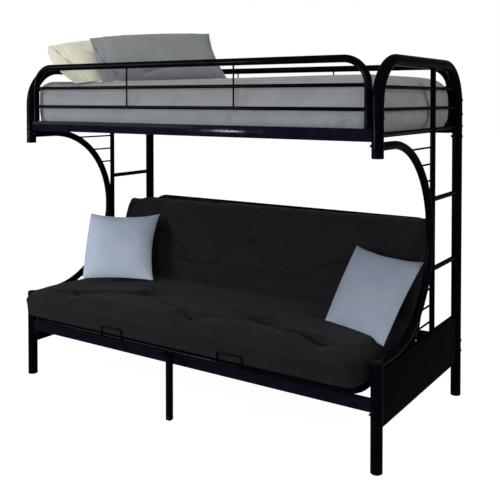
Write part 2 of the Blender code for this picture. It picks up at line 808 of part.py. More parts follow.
lug_x = back_side_x + seat_tube_radius + seat_gap + hinge_lug_thickness / 2
pin_cutters = []
for side, sign in sides:
    arc = [math.pi / 2 - math.pi * step / lug_steps for step in range(lug_steps + 1)]
    lug_outline = [Vector((0, hinge_lug_radius * math.cos(a), hinge_lug_radius * math.sin(a))) for a in arc]
    lug_outline += [Vector((0, -seat_cross_inset, -hinge_lug_radius)),
                    Vector((0, -seat_cross_inset, hinge_lug_radius))]
    lug_start = Vector((sign * lug_x - hinge_lug_thickness / 2, hinge_y, hinge_z))
    lug = extruded(side + "_lug", lug_outline, lug_start, (hinge_lug_thickness, 0, 0), "black_zinc")
    weld(seat_deck, lug)
    pin_head_x = lug_x + hinge_lug_thickness / 2 + seat_gap
    pin_inner_x = back_side_x - seat_tube_radius - seat_gap
    pin_length = pin_head_x - pin_inner_x
    head = hinge_pin_head_diameter / 2
    shank = hinge_pin_diameter / 2
    pin_shape = [
        (-pin_length - hinge_pin_head_height, 0), (-pin_length - hinge_pin_head_height, head),
        (-pin_length, head), (-pin_length, shank), (0, shank), (0, head),
        (hinge_pin_head_height, head), (hinge_pin_head_height, 0),
    ]
    turned(side + "_hinge_pin", pin_shape, Vector((sign * pin_head_x, hinge_y, hinge_z)), (sign, 0, 0),
           rod_sides, "black_zinc", seat_carrier)
    pin_line = [
        Vector((sign * (pin_head_x + cut_overrun), hinge_y, hinge_z)),
        Vector((sign * (pin_inner_x - cut_overrun), hinge_y, hinge_z)),
    ]
    hole_diameter = hinge_pin_diameter + 2 * hinge_pin_clearance
    pin_cutters.append(hide(rod(side + "_pin_cutter", pin_line, hole_diameter, rod_sides, "plain_steel")))
cut(seat_deck, *pin_cutters)
cut(seat_deck, seat_tube_cutter)

back_corners = [
    back_place(-back_side_x, -hinge_lug_radius, 0),
    back_place(-back_side_x, back_length, 0),
    back_place(back_side_x, back_length, 0),
    back_place(back_side_x, -hinge_lug_radius, 0),
]
back_line = bent_path(back_corners, back_corner_radius, bend_steps)
back_tube = tube("back_frame_tube", back_line, seat_tube_diameter, seat_tube_wall, tube_sides,
                 "gloss_black_steel", back_carrier)
cut(back_tube, *pin_cutters)
back_tube_cutter = cutter("back_tube_cutter", back_line, seat_tube_diameter, tube_sides)
cross_ahead = seat_gap + weld_depth
back_cross_line = [
    back_place(-back_side_x, back_cross_rise, cross_ahead),
    back_place(back_side_x, back_cross_rise, cross_ahead),
]
back_deck = tube("back_deck", back_cross_line, seat_tube_diameter, seat_tube_wall, tube_sides,
                 "black_rail_steel", back_carrier)
back_slat_blocks = []
for index in range(deck_slat_count):
    middle_x = -deck_span / 2 + deck_span * index / (deck_slat_count - 1)
    back_slat_blocks.append((
        Vector((middle_x - deck_slat_width / 2, -deck_top, back_cross_rise)),
        Vector((middle_x + deck_slat_width / 2, -seat_tube_radius - seat_gap, back_length)),
    ))
back_slats = boxes("back_slats", back_slat_blocks)
back_slats.rotation_euler = (-back_lean, 0, 0)
back_slats.location = (0, hinge_y, hinge_z)
weld(back_deck, back_slats)
cut(back_deck, back_tube_cutter)

# Soft parts: futon pad in two folded halves, upper mattress and pillows

edge_row_shares = (0.4, 0.75)


def cut_grid(shape, half, shares_x, shares_y, shares_z):
    """Cuts a box into rows along each axis at shares of its half size."""
    for axis, shares in enumerate((shares_x, shares_y, shares_z)):
        normal = Vector((axis == 0, axis == 1, axis == 2))
        for share in shares:
            everything = shape.verts[:] + shape.edges[:] + shape.faces[:]
            bmesh.ops.bisect_plane(shape, geom=everything, plane_co=normal * half[axis] * share,
                                   plane_no=normal)


def even_shares(count, edge_share):
    """Shares of a half size: rounded edge rows at both ends and even rows between."""
    inner = 1 - edge_share
    middle = [-inner + 2 * inner * step / count for step in range(count + 1)]
    edge = [inner + edge_share * part for part in edge_row_shares]
    return [-share for share in reversed(edge)] + middle + edge


def rounded_block(half, edge, rows_x, rows_y, rows_z):
    """Starts a cushion: a block with rounded edges and rows of faces to shape."""
    shape = bmesh.new()
    bmesh.ops.create_cube(shape, size=2, matrix=Matrix.Diagonal((*half, 1)))
    cut_grid(
        shape, half, even_shares(rows_x, edge / half.x), even_shares(rows_y, edge / half.y),
        even_shares(rows_z, min(edge / half.z, 0.9)),
    )
    for vert in shape.verts:
        inner = Vector([max(-(h - edge), min(h - edge, c)) for c, h in zip(vert.co, half)])
        out = vert.co - inner
        if out.length > 0:
            vert.co = inner + out.normalized() * edge
    return shape


def smooth_step(value):
    """Goes from 0 to 1 with level ends."""
    value = max(0, min(1, value))
    return value * value * (3 - 2 * value)


def soft_object(name, shape, kind, place, turn=None, carrier=None):
    """Places a shaped cushion and gives it its fabric."""
    if turn is not None:
        bmesh.ops.rotate(shape, verts=shape.verts, cent=Vector(), matrix=turn)
    bmesh.ops.recalc_face_normals(shape, faces=shape.faces)
    if shape.calc_volume(signed=True) < 0:
        bmesh.ops.reverse_faces(shape, faces=shape.faces)
    mesh = bpy.data.meshes.new(name)
    shape.to_mesh(mesh)
    shape.free()
    mesh.shade_smooth()
    thing = put(bpy.data.objects.new(name, mesh), place, carrier)
    finish(thing, kind)
    return thing


fold_slope = math.tan((math.pi / 2 - back_lean) / 2)
seat_tuft_shares = (-0.8, -0.48, -0.16, 0.16, 0.48, 0.8)
seat_tuft_row_shares = (-0.30, 0.38)
back_tuft_shares = (-0.8, -0.48, -0.16, 0.16, 0.48, 0.8)
back_tuft_row_shares = (-0.30, 0.36)


def futon_half(length, rows_y, tuft_x, tuft_y, tucked):
    """Half of the folded pad, lying flat: its fold end is at +Y, its deck side at -Z."""
    half = Vector((pad_half_width, length / 2, pad_thickness / 2))
    shape = rounded_block(half, pad_edge_radius, 14, rows_y, 2)
    fold_set_back = pad_thickness * fold_slope
    for vert in shape.verts:
        x, y, z = vert.co
        share_x = x / half.x
        share_y = y / half.y
        top = max(0, z / half.z)
        dome = max(0, 1 - share_x ** 4) * max(0, 1 - share_y ** 4)
        z += top * pad_crown * dome
        for column in tuft_x:
            for row in tuft_y:
                away = (x - column * half.x) ** 2 + (y - row * half.y) ** 2
                z -= top * tuft_depth * math.exp(-away / (2 * (tuft_reach / 2) ** 2))
        if tucked:
            above = (vert.co.z + half.z - pad_tuck_rise) / pad_tuck_rise
            toward_front = smooth_step(-share_y * 3 - 2)
            y += pad_lower_tuck * toward_front * (1 - smooth_step(above))
        height_share = (vert.co.z + half.z) / pad_thickness
        y_from_front = y + half.y
        y = -half.y + y_from_front * (1 - fold_set_back * height_share / length)
        vert.co = Vector((x, y, z))
    return shape


seat_pad_front = seat_front_y - pad_overhang
fold_start = (deck_top + seat_gap) * fold_slope + pad_fold_gap
seat_pad_rear = hinge_y - fold_start
seat_pad_length = seat_pad_rear - seat_pad_front
pad_base_z = seat_tube_z + deck_top + seat_gap
seat_pad = futon_half(seat_pad_length, 7, seat_tuft_shares, seat_tuft_row_shares, True)
seat_pad_piece = soft_object(
    "futon_seat_pad", seat_pad, "charcoal_fabric",
    Vector((0, (seat_pad_front + seat_pad_rear) / 2, pad_base_z + pad_thickness / 2)), None, seat_carrier,
)
back_pad = futon_half(back_pad_length, 7, back_tuft_shares, back_tuft_row_shares, False)
# The pad lies face up with its fold end at +Y, and is turned to stand on the leaning back
bmesh.ops.rotate(back_pad, verts=back_pad.verts, cent=Vector(), matrix=Matrix.Rotation(math.pi, 3, "Z"))
stand = lean_axis @ Matrix.Rotation(math.pi / 2, 3, "X")
back_middle = back_place(0, fold_start + back_pad_length / 2, deck_top + seat_gap + pad_thickness / 2)
soft_object("futon_back_pad", back_pad, "charcoal_fabric", back_middle, stand, back_carrier)

mattress_half = Vector((mattress_length / 2, mattress_width / 2, mattress_thickness / 2))
mattress = rounded_block(mattress_half, mattress_edge_radius, 6, 3, 2)
for vert in mattress.verts:
    share_x = vert.co.x / mattress_half.x
    share_y = vert.co.y / mattress_half.y
    top = max(0, vert.co.z / mattress_half.z)
    vert.co.z += top * mattress_crown * (1 - share_x ** 2) * (1 - share_y ** 2)
mattress_piece = soft_object(
    "upper_mattress", mattress, "grey_sheet",
    Vector((0, (front_y + rear_y) / 2, slat_top_z + seat_gap + mattress_thickness / 2)),
)


def pillow_shape(length, width, thickness, rows_x, rows_y, pinch):
    """Pillow with a sewn edge all round, drawn-in sides and pointed corners."""
    shape = bmesh.new()
    bmesh.ops.create_grid(shape, x_segments=rows_x, y_segments=rows_y, size=1)
    upper = shape.faces[:]
    copy = bmesh.ops.duplicate(shape, geom=shape.verts[:] + shape.edges[:] + upper)
    lower = [item for item in copy["geom"] if isinstance(item, bmesh.types.BMVert)]
    lower_points = set(lower)
    for vert in shape.verts:
        u, v = vert.co.x, vert.co.y
        swell = max(0, 1 - abs(u) ** 2.6) ** 0.5 * max(0, 1 - abs(v) ** 2.6) ** 0.5
        x = u * length / 2 * (1 - pinch * (1 - v * v) * abs(u) ** 3)
        y = v * width / 2 * (1 - pinch * (1 - u * u) * abs(v) ** 3)
        z = swell * thickness / 2
        vert.co = Vector((x, y, -z if vert in lower_points else z))
    bmesh.ops.remove_doubles(shape, verts=shape.verts, dist=1e-6)
    return shape


pillow_pinch_share = 0.055
bed_rows = (14, 10)
throw_rows = (12, 12)
edge_samples = 24


def drop_to(shape, support):
    """Height that a shape can drop before it meets the object under it."""
    rest = BVHTree.FromObject(support, bpy.context.evaluated_depsgraph_get())
    origin = support.matrix_world.translation
    down = Vector((0, 0, -1))
    drops = []
    for edge in shape.edges:
        ends = [vert.co for vert in edge.verts]
        for step in range(edge_samples):
            point = ends[0].lerp(ends[1], step / edge_samples) - origin
            hit = rest.ray_cast(point, down)
            if hit[0] is not None:
                drops.append(hit[3])
    return min(drops)


def place_pillow(name, kind, size, rows, pose, spot, support, carrier=None):
    """Stands a pillow on its support, leaning back and turned about the upright."""
    turn, lean, roll = pose
    pillow = pillow_shape(*size, *rows, pillow_pinch_share)
    upright = Matrix.Rotation(math.pi / 2 - lean, 3, "X") @ Matrix.Rotation(roll, 3, "Z")
    turned_pillow = Matrix.Rotation(turn, 3, "Z") @ upright
    place = Vector((*spot, hoop_top_z + size[1]))
    bmesh.ops.rotate(pillow, verts=pillow.verts, cent=Vector(), matrix=turned_pillow)
    bmesh.ops.translate(pillow, verts=pillow.verts, vec=place)
    lowest = min(vert.co.z for vert in pillow.verts)
    everything = pillow.verts[:] + pillow.edges[:] + pillow.faces[:]
    flattened = bmesh.ops.bisect_plane(
        pillow, geom=everything, plane_co=Vector((0, 0, lowest + pillow_rest_flat)),
        plane_no=Vector((0, 0, -1)), clear_outer=True,
    )
    rim = [item for item in flattened["geom_cut"] if isinstance(item, bmesh.types.BMEdge)]
    bmesh.ops.holes_fill(pillow, edges=rim)
    drop = drop_to(pillow, support) - seat_gap
    bmesh.ops.translate(pillow, verts=pillow.verts, vec=-place)
    soft_object(name, pillow, kind, place - Vector((0, 0, drop)), None, carrier)


bpy.context.view_layer.update()
place_pillow("cream_bed_pillow", "cream_pillowcase",
             (cream_pillow_length, cream_pillow_width, bed_pillow_thickness), bed_rows,
             (cream_pillow_turn, cream_pillow_lean, cream_pillow_roll),
             (cream_pillow_end_inset - post_x, front_y + cream_pillow_front_inset), mattress_piece)
place_pillow("grey_bed_pillow", "grey_pillowcase",
             (grey_pillow_length, grey_pillow_width, bed_pillow_thickness), bed_rows,
             (grey_pillow_turn, grey_pillow_lean, grey_pillow_roll),
             (grey_pillow_end_inset - post_x, front_y + grey_pillow_front_inset), mattress_piece)
place_pillow("left_throw_pillow", "pale_blue_fabric",
             (left_throw_length, left_throw_width, throw_pillow_thickness), throw_rows,
             (left_throw_turn, left_throw_lean, left_throw_roll),
             (left_throw_end_inset - post_x, hinge_y - left_throw_hinge_setback), seat_pad_piece,
             seat_carrier)
place_pillow("right_throw_pillow", "pale_blue_fabric",
             (right_throw_length, right_throw_width, throw_pillow_thickness), throw_rows,
             (right_throw_turn, right_throw_lean, right_throw_roll),
             (post_x - right_throw_end_inset, hinge_y - right_throw_hinge_setback), seat_pad_piece,
             seat_carrier)
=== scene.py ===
import math

import bmesh
import bpy
import numpy as np
from mathutils import Matrix, Vector, noise
from mathutils.bvhtree import BVHTree


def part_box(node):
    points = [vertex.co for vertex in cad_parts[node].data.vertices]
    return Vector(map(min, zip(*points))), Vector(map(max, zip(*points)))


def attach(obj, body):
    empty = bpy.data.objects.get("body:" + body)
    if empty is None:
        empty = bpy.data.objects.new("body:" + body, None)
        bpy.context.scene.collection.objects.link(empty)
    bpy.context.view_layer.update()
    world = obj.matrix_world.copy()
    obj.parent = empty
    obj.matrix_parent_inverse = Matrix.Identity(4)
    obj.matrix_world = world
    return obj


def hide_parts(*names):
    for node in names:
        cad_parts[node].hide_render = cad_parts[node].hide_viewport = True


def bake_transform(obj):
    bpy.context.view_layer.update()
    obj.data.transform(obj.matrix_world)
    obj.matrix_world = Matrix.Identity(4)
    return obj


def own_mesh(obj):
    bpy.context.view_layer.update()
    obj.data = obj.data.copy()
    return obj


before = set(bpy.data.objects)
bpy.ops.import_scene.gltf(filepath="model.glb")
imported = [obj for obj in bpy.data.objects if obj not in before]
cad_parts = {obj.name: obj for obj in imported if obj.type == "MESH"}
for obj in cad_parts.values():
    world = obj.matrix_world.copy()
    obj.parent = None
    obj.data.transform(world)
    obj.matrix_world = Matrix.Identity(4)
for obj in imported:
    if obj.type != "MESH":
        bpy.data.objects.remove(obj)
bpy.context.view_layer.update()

# End hoops. Each is one 49 mm steel tube bent twice into an arch. Its rear leg is the rear post
# of the bed, and its short front leg stops above the open side. The steel is powder coated in a
# gloss blue-black, which shows as thin cool streaks along the dark tubes.
post_diameter = 0.049
post_radius = post_diameter / 2
front_leg_low, front_leg_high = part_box("left_front_leg")
hoop_low, hoop_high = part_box("left_end_hoop")
end_x = -(hoop_low.x + hoop_high.x) / 2
front_y = (front_leg_low.y + front_leg_high.y) / 2
rear_y = hoop_high.y - post_radius
hoop_top = hoop_high.z - post_radius
hoop_bend = 0.185
hoop_front_end = 1.240
foot_height = 0.004
# Pieces that meet are modelled this far apart, so that no two faces lie in one plane
paint_gap = 0.0003


def colour(code):
    """Turns an sRGB hex colour into the linear values that the shader takes."""
    shares = [int(code[at:at + 2], 16) / 255 for at in (1, 3, 5)]
    return [s / 12.92 if s <= 0.04045 else ((s + 0.055) / 1.055) ** 2.4 for s in shares] + [1]


def new_material(name, constants):
    """Makes a material and sets the shader's own constants."""
    material = bpy.data.materials.new(name)
    material.use_nodes = True
    shader = material.node_tree.nodes["Principled BSDF"]
    for socket, value in constants.items():
        shader.inputs[socket].default_value = value
    return material


def add_node(material, kind, inputs=None, stops=(), **settings):
    """Adds a node: an input takes a constant or another node's output, and a ramp its colour stops."""
    tree = material.node_tree
    node = tree.nodes.new("ShaderNode" + kind)
    for name, value in settings.items():
        setattr(node, name, value)
    for name, value in (inputs or {}).items():
        if isinstance(value, bpy.types.NodeSocket):
            tree.links.new(value, node.inputs[name])
        else:
            node.inputs[name].default_value = value
    for index, (position, tone) in enumerate(stops):
        node.color_ramp.elements[index].position = position
        node.color_ramp.elements[index].color = colour(tone)
    return node


def drive(material, **outputs):
    """Links nodes' outputs to the shader's colour, roughness and normal."""
    shader = material.node_tree.nodes["Principled BSDF"]
    names = {"base": "Base Color", "roughness": "Roughness", "normal": "Normal"}
    for name, output in outputs.items():
        material.node_tree.links.new(output, shader.inputs[names[name]])


def powder_coat(name, dark, light, roughness, shine):
    """Gloss powder coat on steel: baked paint, near black, whose orange peel frays thin streaks."""
    made = new_material(name, {"IOR": 1.5, "Specular IOR Level": shine})
    place = add_node(made, "TexCoord").outputs["Object"]
    # Orange peel: waves about 2 mm apart in the paint film
    peel = add_node(made, "TexNoise", {"Vector": place, "Scale": 480, "Detail": 2})
    # Pigment and handling marks: patches a few centimetres wide, a little lighter and duller
    patches = add_node(made, "TexNoise", {"Vector": place, "Scale": 24, "Detail": 4})
    tint = add_node(made, "ValToRGB", {"Fac": patches.outputs["Fac"]}, ((0.35, dark), (0.72, light)))
    gloss = add_node(made, "MapRange", {"Value": patches.outputs["Fac"], "From Min": 0.3,
                                        "From Max": 0.75, "To Min": roughness,
                                        "To Max": roughness + 0.12})
    waves = add_node(made, "Bump", {"Height": peel.outputs["Fac"], "Strength": 0.12, "Distance": 0.0004})
    drive(made, base=tint.outputs["Color"], roughness=gloss.outputs["Result"],
          normal=waves.outputs["Normal"])
    return made


tube_paint = powder_coat("gloss_powder_coat_on_steel_tube", "#030308", "#06060D", 0.09, 0.019)


def clear_selection():
    """Goes back to object mode with nothing selected, so that an operator acts on its own piece."""
    if bpy.context.mode != "OBJECT":
        bpy.ops.object.mode_set(mode="OBJECT")
    bpy.ops.object.select_all(action="DESELECT")


def finish_piece(name, material):
    """Ends the modelling of the active piece: faces out, place in the mesh, shading, material, slot."""
    if bpy.context.mode != "OBJECT":
        bpy.ops.mesh.select_all(action="SELECT")
        bpy.ops.mesh.remove_doubles(threshold=0.00001)
        bpy.ops.mesh.normals_make_consistent(inside=False)
        bpy.ops.object.mode_set(mode="OBJECT")
    piece = bpy.context.object
    bpy.ops.object.transform_apply(location=True, rotation=True, scale=True)
    bpy.ops.object.shade_smooth_by_angle(angle=math.radians(40))
    piece.name = name
    piece.data.name = name
    piece.data.materials.clear()
    piece.data.materials.append(material)
    return piece


def bent_tube(name, place, heading, diameter, moves, points=28):
    """Runs a tube from a disc. A move is a straight run, or a bend of some degrees about a centre."""
    clear_selection()
    facing = Vector(heading).to_track_quat("Z", "Y").to_euler()
    bpy.ops.mesh.primitive_circle_add(vertices=points, radius=diameter / 2, fill_type="NGON",
                                      location=place, rotation=facing)
    bpy.ops.object.mode_set(mode="EDIT")
    bpy.ops.mesh.select_all(action="SELECT")
    for move in moves:
        if len(move) == 3:
            straight = {"value": move, "orient_type": "GLOBAL"}
            bpy.ops.mesh.extrude_region_move(TRANSFORM_OT_translate=straight)
        else:
            centre, axis, degrees, steps = move
            bpy.ops.mesh.spin(steps=steps, angle=math.radians(degrees), center=centre, axis=axis)
    return finish_piece(name, tube_paint)


def copy_piece(piece, name, change):
    """Copies a piece with its own mesh, moved or mirrored by a matrix."""
    other = piece.copy()
    other.data = piece.data.copy()
    bpy.context.scene.collection.objects.link(other)
    other.name = name
    other.data.name = name
    other.data.transform(change)
    if change.determinant() < 0:
        other.data.flip_normals()
    return other


def fit(piece, body, *nodes):
    """Fixes a piece to its body in the place of the CAD nodes it stands for."""
    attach(piece, body)
    if nodes:
        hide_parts(*nodes)


mirror = Matrix.Diagonal((-1, 1, 1, 1))


def fit_both_ends(piece, node=None):
    """Mirrors a left piece of the bed frame to the right end and fixes both."""
    other = copy_piece(piece, piece.name.replace("left_", "right_"), mirror)
    fit(piece, "bunk_frame", *(["left_" + node] if node else []))
    fit(other, "bunk_frame", *(["right_" + node] if node else []))


front_bend = (-end_x, front_y + hoop_bend, hoop_top - hoop_bend)
rear_bend = (-end_x, rear_y - hoop_bend, hoop_top - hoop_bend)
hoop_tube = bent_tube(
    "left_hoop_tube", (-end_x, front_y, hoop_front_end), (0, 0, 1), post_diameter,
    [(0, 0, hoop_top - hoop_bend - hoop_front_end), (front_bend, (1, 0, 0), 90, 20),
     (0, rear_y - front_y - 2 * hoop_bend, 0), (rear_bend, (1, 0, 0), 90, 20),
     (0, 0, foot_height - hoop_top + hoop_bend)], 40,
)
fit_both_ends(hoop_tube, "end_hoop")

# Short front legs, cut from the same tube. Moulded plastic plugs close every open tube end: the
# feet under the posts, and the caps where the tube stops above and below the open side.
leg_top = front_leg_high.z
front_leg = bent_tube("left_front_leg_tube", (-end_x, front_y, foot_height), (0, 0, 1), post_diameter,
                      [(0, 0, leg_top - foot_height)], 40)
fit_both_ends(front_leg, "front_leg")

# Moulded polyethylene: a soft black with a fine spark-eroded grain that dulls its shine
moulded_plastic = new_material("moulded_black_polyethylene", {"Specular IOR Level": 0.12, "IOR": 1.5})
place = add_node(moulded_plastic, "TexCoord").outputs["Object"]
grain = add_node(moulded_plastic, "TexNoise", {"Vector": place, "Scale": 1400, "Detail": 3})
scuffs = add_node(moulded_plastic, "TexNoise", {"Vector": place, "Scale": 90, "Detail": 5})
scuff_tint = add_node(moulded_plastic, "ValToRGB", {"Fac": scuffs.outputs["Fac"]},
                      ((0.45, "#08080A"), (0.80, "#121215")))
grain_bump = add_node(moulded_plastic, "Bump", {"Height": grain.outputs["Fac"], "Strength": 0.25,
                                                "Distance": 0.0002})
grain_gloss = add_node(moulded_plastic, "MapRange", {"Value": scuffs.outputs["Fac"], "To Min": 0.42,
                                                     "To Max": 0.66})
drive(moulded_plastic, base=scuff_tint.outputs["Color"], roughness=grain_gloss.outputs["Result"],
      normal=grain_bump.outputs["Normal"])


def select_edges(chosen):
    """Goes into edit mode and selects the edges whose two ends pass a test."""
    bpy.ops.object.mode_set(mode="EDIT")
    bpy.ops.mesh.select_mode(type="EDGE")
    bpy.ops.mesh.select_all(action="DESELECT")
    shape = bmesh.from_edit_mesh(bpy.context.object.data)
    for edge in shape.edges:
        if chosen(edge.verts[0].co, edge.verts[1].co):
            edge.select_set(True)
    bmesh.update_edit_mesh(bpy.context.object.data)


def tube_plug(name, place, outward, node):
    """A round plug with a rolled rim, modelled from a short cylinder."""
    clear_selection()
    middle = Vector(place) + Vector((0, 0, outward * foot_height / 2))
    bpy.ops.mesh.primitive_cylinder_add(vertices=40, radius=post_radius - paint_gap, depth=foot_height,
                                        location=middle)
    select_edges(lambda a, b: a.z * outward > 0 and b.z * outward > 0)
    bpy.ops.mesh.bevel(offset=0.0022, segments=4, affect="EDGES")
    plug = finish_piece(name, moulded_plastic)
    fit(plug, "bunk_frame", node)


for side, x in (("left", -end_x), ("right", end_x)):
    tube_plug(side + "_front_foot_plug", (x, front_y, foot_height), -1, side + "_front_foot")
    tube_plug(side + "_rear_foot_plug", (x, rear_y, foot_height), -1, side + "_rear_foot")
    tube_plug(side + "_leg_top_plug", (x, front_y, leg_top), 1, side + "_front_leg_cap")
    tube_plug(side + "_hoop_end_plug", (x, front_y, hoop_front_end), -1, side + "_hoop_end_cap")

# C-shaped tubes, 35 mm across, bent in one half circle and welded between the hoop's front leg
# and the short lower leg. They leave the front of the lower bunk open.
c_diameter = 0.035
c_low, c_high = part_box("left_c_tube")
c_top = c_high.z - c_diameter / 2
c_bottom = c_low.z + c_diameter / 2
c_radius = (c_top - c_bottom) / 2
c_bend_y = c_high.y - c_diameter / 2 - c_radius
c_tube = bent_tube(
    "left_c_bend", (-end_x, front_y, c_top), (0, 1, 0), c_diameter,
    [(0, c_bend_y - front_y, 0), ((-end_x, c_bend_y, c_bottom + c_radius), (1, 0, 0), 180, 48),
     (0, front_y - c_bend_y, 0)], 32,
)
fit_both_ends(c_tube, "c_tube")

# Ladder at each end: an upright 25 mm tube behind the C, two round rungs to the rear post, and
# thin rods that fill the space between the C and the upright. All are welded in place.
ladder_diameter = 0.0255
rung_diameter = 0.0225
infill_diameter = 0.009
first_drop = 0.032
infill_step = 0.0755
ladder_y = c_high.y + ladder_diameter / 2 + paint_gap
panel_low, panel_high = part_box("left_end_panel")
rung_heights = {level: sum(corner.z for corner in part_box("left_ladder_rung_" + level)) / 2
                for level in ("lower", "upper")}
ladder = bent_tube("left_ladder_upright", (-end_x, ladder_y, panel_high.z), (0, 0, 1), ladder_diameter,
                   [(0, 0, hoop_top - panel_high.z)])
fit_both_ends(ladder, "ladder_post")
for level, z in rung_heights.items():
    rung = bent_tube("left_rung_" + level, (-end_x, ladder_y, z), (0, 1, 0), rung_diameter,
                     [(0, rear_y - ladder_y, 0)])
    fit_both_ends(rung, "ladder_rung_" + level)
for index in range(3):
    drop = first_drop + infill_step * index
    for row, z in (("top", c_top - drop), ("bottom", c_bottom + drop)):
        reach = c_bend_y + math.sqrt(c_radius ** 2 - (c_radius - drop) ** 2)
        name = "infill_rod_" + row + str(index + 1)
        rod = bent_tube("left_" + name, (-end_x, reach, z), (0, 1, 0), infill_diameter,
                        [(0, ladder_y - reach, 0)], 16)
        fit_both_ends(rod)

# Three thin bars across each hoop, which hold the end of the upper mattress. The ladder upright
# passes through them, and each joint is welded all round.
bar_diameter = 0.016
bar_heights = {level: sum(corner.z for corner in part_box("left_hoop_bar_" + level)) / 2
               for level in ("top", "middle", "bottom")}
for level, z in bar_heights.items():
    bar = bent_tube("left_end_bar_" + level, (-end_x, front_y, z), (0, 1, 0), bar_diameter,
                    [(0, rear_y - front_y, 0)], 20)
    fit_both_ends(bar, "hoop_bar_" + level)

# End panels, folded from sheet steel into a deep hollow box between the front leg and the rear
# post. The folds round its long edges, and the same paint covers it; here it is a darker, less
# shiny copy of the tubes' paint, painted shade for the shade the panel stands in.


def block(low, high, axis, radius, segments=5):
    """A box between two corners, with the edges that run along one axis rounded."""
    clear_selection()
    bpy.ops.mesh.primitive_cube_add(size=1, location=((low + high) / 2).to_tuple())
    bpy.context.object.scale = high - low
    bpy.ops.object.transform_apply(location=False, rotation=False, scale=True)
    select_edges(lambda a, b: abs((a - b).normalized()[axis]) > 0.99)
    bpy.ops.mesh.bevel(offset=radius, segments=segments, affect="EDGES")


panel_paint = powder_coat("gloss_powder_coat_on_sheet_steel", "#020206", "#05050A", 0.32, 0.006)
block(panel_low, panel_high, 1, 0.005)
fit_both_ends(finish_piece("left_end_box_panel", panel_paint), "end_panel")

# Rails along the bed, of 25 by 52 mm rectangular tube with rolled corners, bolted between the
# end frames at the front and the back of both bunks. Their paint is a lighter copy of the tubes'
# paint, painted light for the light their flat faces catch.
rail_paint = powder_coat("gloss_powder_coat_on_flat_rail", "#0C0C18", "#12121E", 0.03, 0.016)
for level in ("upper", "lower"):
    for row in ("front", "back"):
        node = level + "_" + row + "_rail"
        block(*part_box(node), 0, 0.0045)
        rail = finish_piece(node + "_tube", rail_paint)
        fit(rail, "bunk_frame", node)

# Guard rails of the upper bunk: a 32 mm tube bent down at both ends onto the side rail, with two
# thin bars across it and two thin upright rods.
guard_diameter = 0.032
guard_bend = 0.108
rod_diameter = 0.008
rod_x = 0.3135
for row, y in (("front", front_y), ("back", rear_y)):
    low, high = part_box(row + "_guard_hoop")
    guard_x = high.x - guard_diameter / 2
    guard_top = high.z - guard_diameter / 2
    turn_z = guard_top - guard_bend
    guard = bent_tube(
        row + "_guard_tube", (-guard_x, y, low.z), (0, 0, 1), guard_diameter,
        [(0, 0, turn_z - low.z), ((guard_bend - guard_x, y, turn_z), (0, -1, 0), 90, 16),
         (2 * (guard_x - guard_bend), 0, 0), ((guard_x - guard_bend, y, turn_z), (0, -1, 0), 90, 16),
         (0, 0, low.z - turn_z)], 32,
    )
    fit(guard, "bunk_frame", row + "_guard_hoop")
    bar_z = {}
    for level in ("lower", "upper"):
        bar_z[level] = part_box(row + "_guard_bar_" + level)[0].z + bar_diameter / 2
        bar = bent_tube(row + "_guard_rail_bar_" + level, (-guard_x, y, bar_z[level]), (1, 0, 0),
                        bar_diameter, [(2 * guard_x, 0, 0)], 20)
        fit(bar, "bunk_frame", row + "_guard_bar_" + level)
    for side, x in (("left", -rod_x), ("right", rod_x)):
        rod = bent_tube(row + "_guard_rod_" + side, (x, y, bar_z["lower"]), (0, 0, 1), rod_diameter,
                        [(0, 0, guard_top - bar_z["lower"])], 16)
        fit(rod, "bunk_frame")

# Seat frame: a 28 mm tube bent into a wide U, with steel slats that carry the futon. It slides
# forward on nylon glides in two channels inside the end panels.
seat_low, seat_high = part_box("seat_frame_tube")
seat_diameter = 0.028
seat_radius = seat_diameter / 2
seat_bend = 0.090
seat_x = seat_high.x - seat_radius
seat_z = (seat_low.z + seat_high.z) / 2
seat_front = seat_low.y + seat_radius
seat_tube = bent_tube(
    "seat_u_tube", (-seat_x, seat_high.y, seat_z), (0, -1, 0), seat_diameter,
    [(0, seat_front + seat_bend - seat_high.y, 0),
     ((seat_bend - seat_x, seat_front + seat_bend, seat_z), (0, 0, -1), 90, 16),
     (2 * (seat_x - seat_bend), 0, 0),
     ((seat_x - seat_bend, seat_front + seat_bend, seat_z), (0, 0, -1), 90, 16),
     (0, seat_high.y - seat_front - seat_bend, 0)], 32,
)
fit(seat_tube, "seat", "seat_frame_tube")

# Wire retainers, bent from 7 mm rod and welded to the front of the seat tube, which keep the
# futon from sliding off.
for side in ("left", "right"):
    low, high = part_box(side + "_mattress_retainer")
    wire = high.y - low.y
    wire_bend = 0.012
    wire_y = (low.y + high.y) / 2
    foot_left, foot_right = low.x + wire / 2, high.x - wire / 2
    rise = high.z - wire / 2
    retainer = bent_tube(
        side + "_retainer_wire", (foot_left, wire_y, low.z), (0, 0, 1), wire,
        [(0, 0, rise - wire_bend - low.z),
         ((foot_left + wire_bend, wire_y, rise - wire_bend), (0, -1, 0), 90, 8),
         (foot_right - foot_left - 2 * wire_bend, 0, 0),
         ((foot_right - wire_bend, wire_y, rise - wire_bend), (0, -1, 0), 90, 8),
         (0, 0, low.z - rise + wire_bend)], 16,
    )
    fit(retainer, "seat", side + "_mattress_retainer")

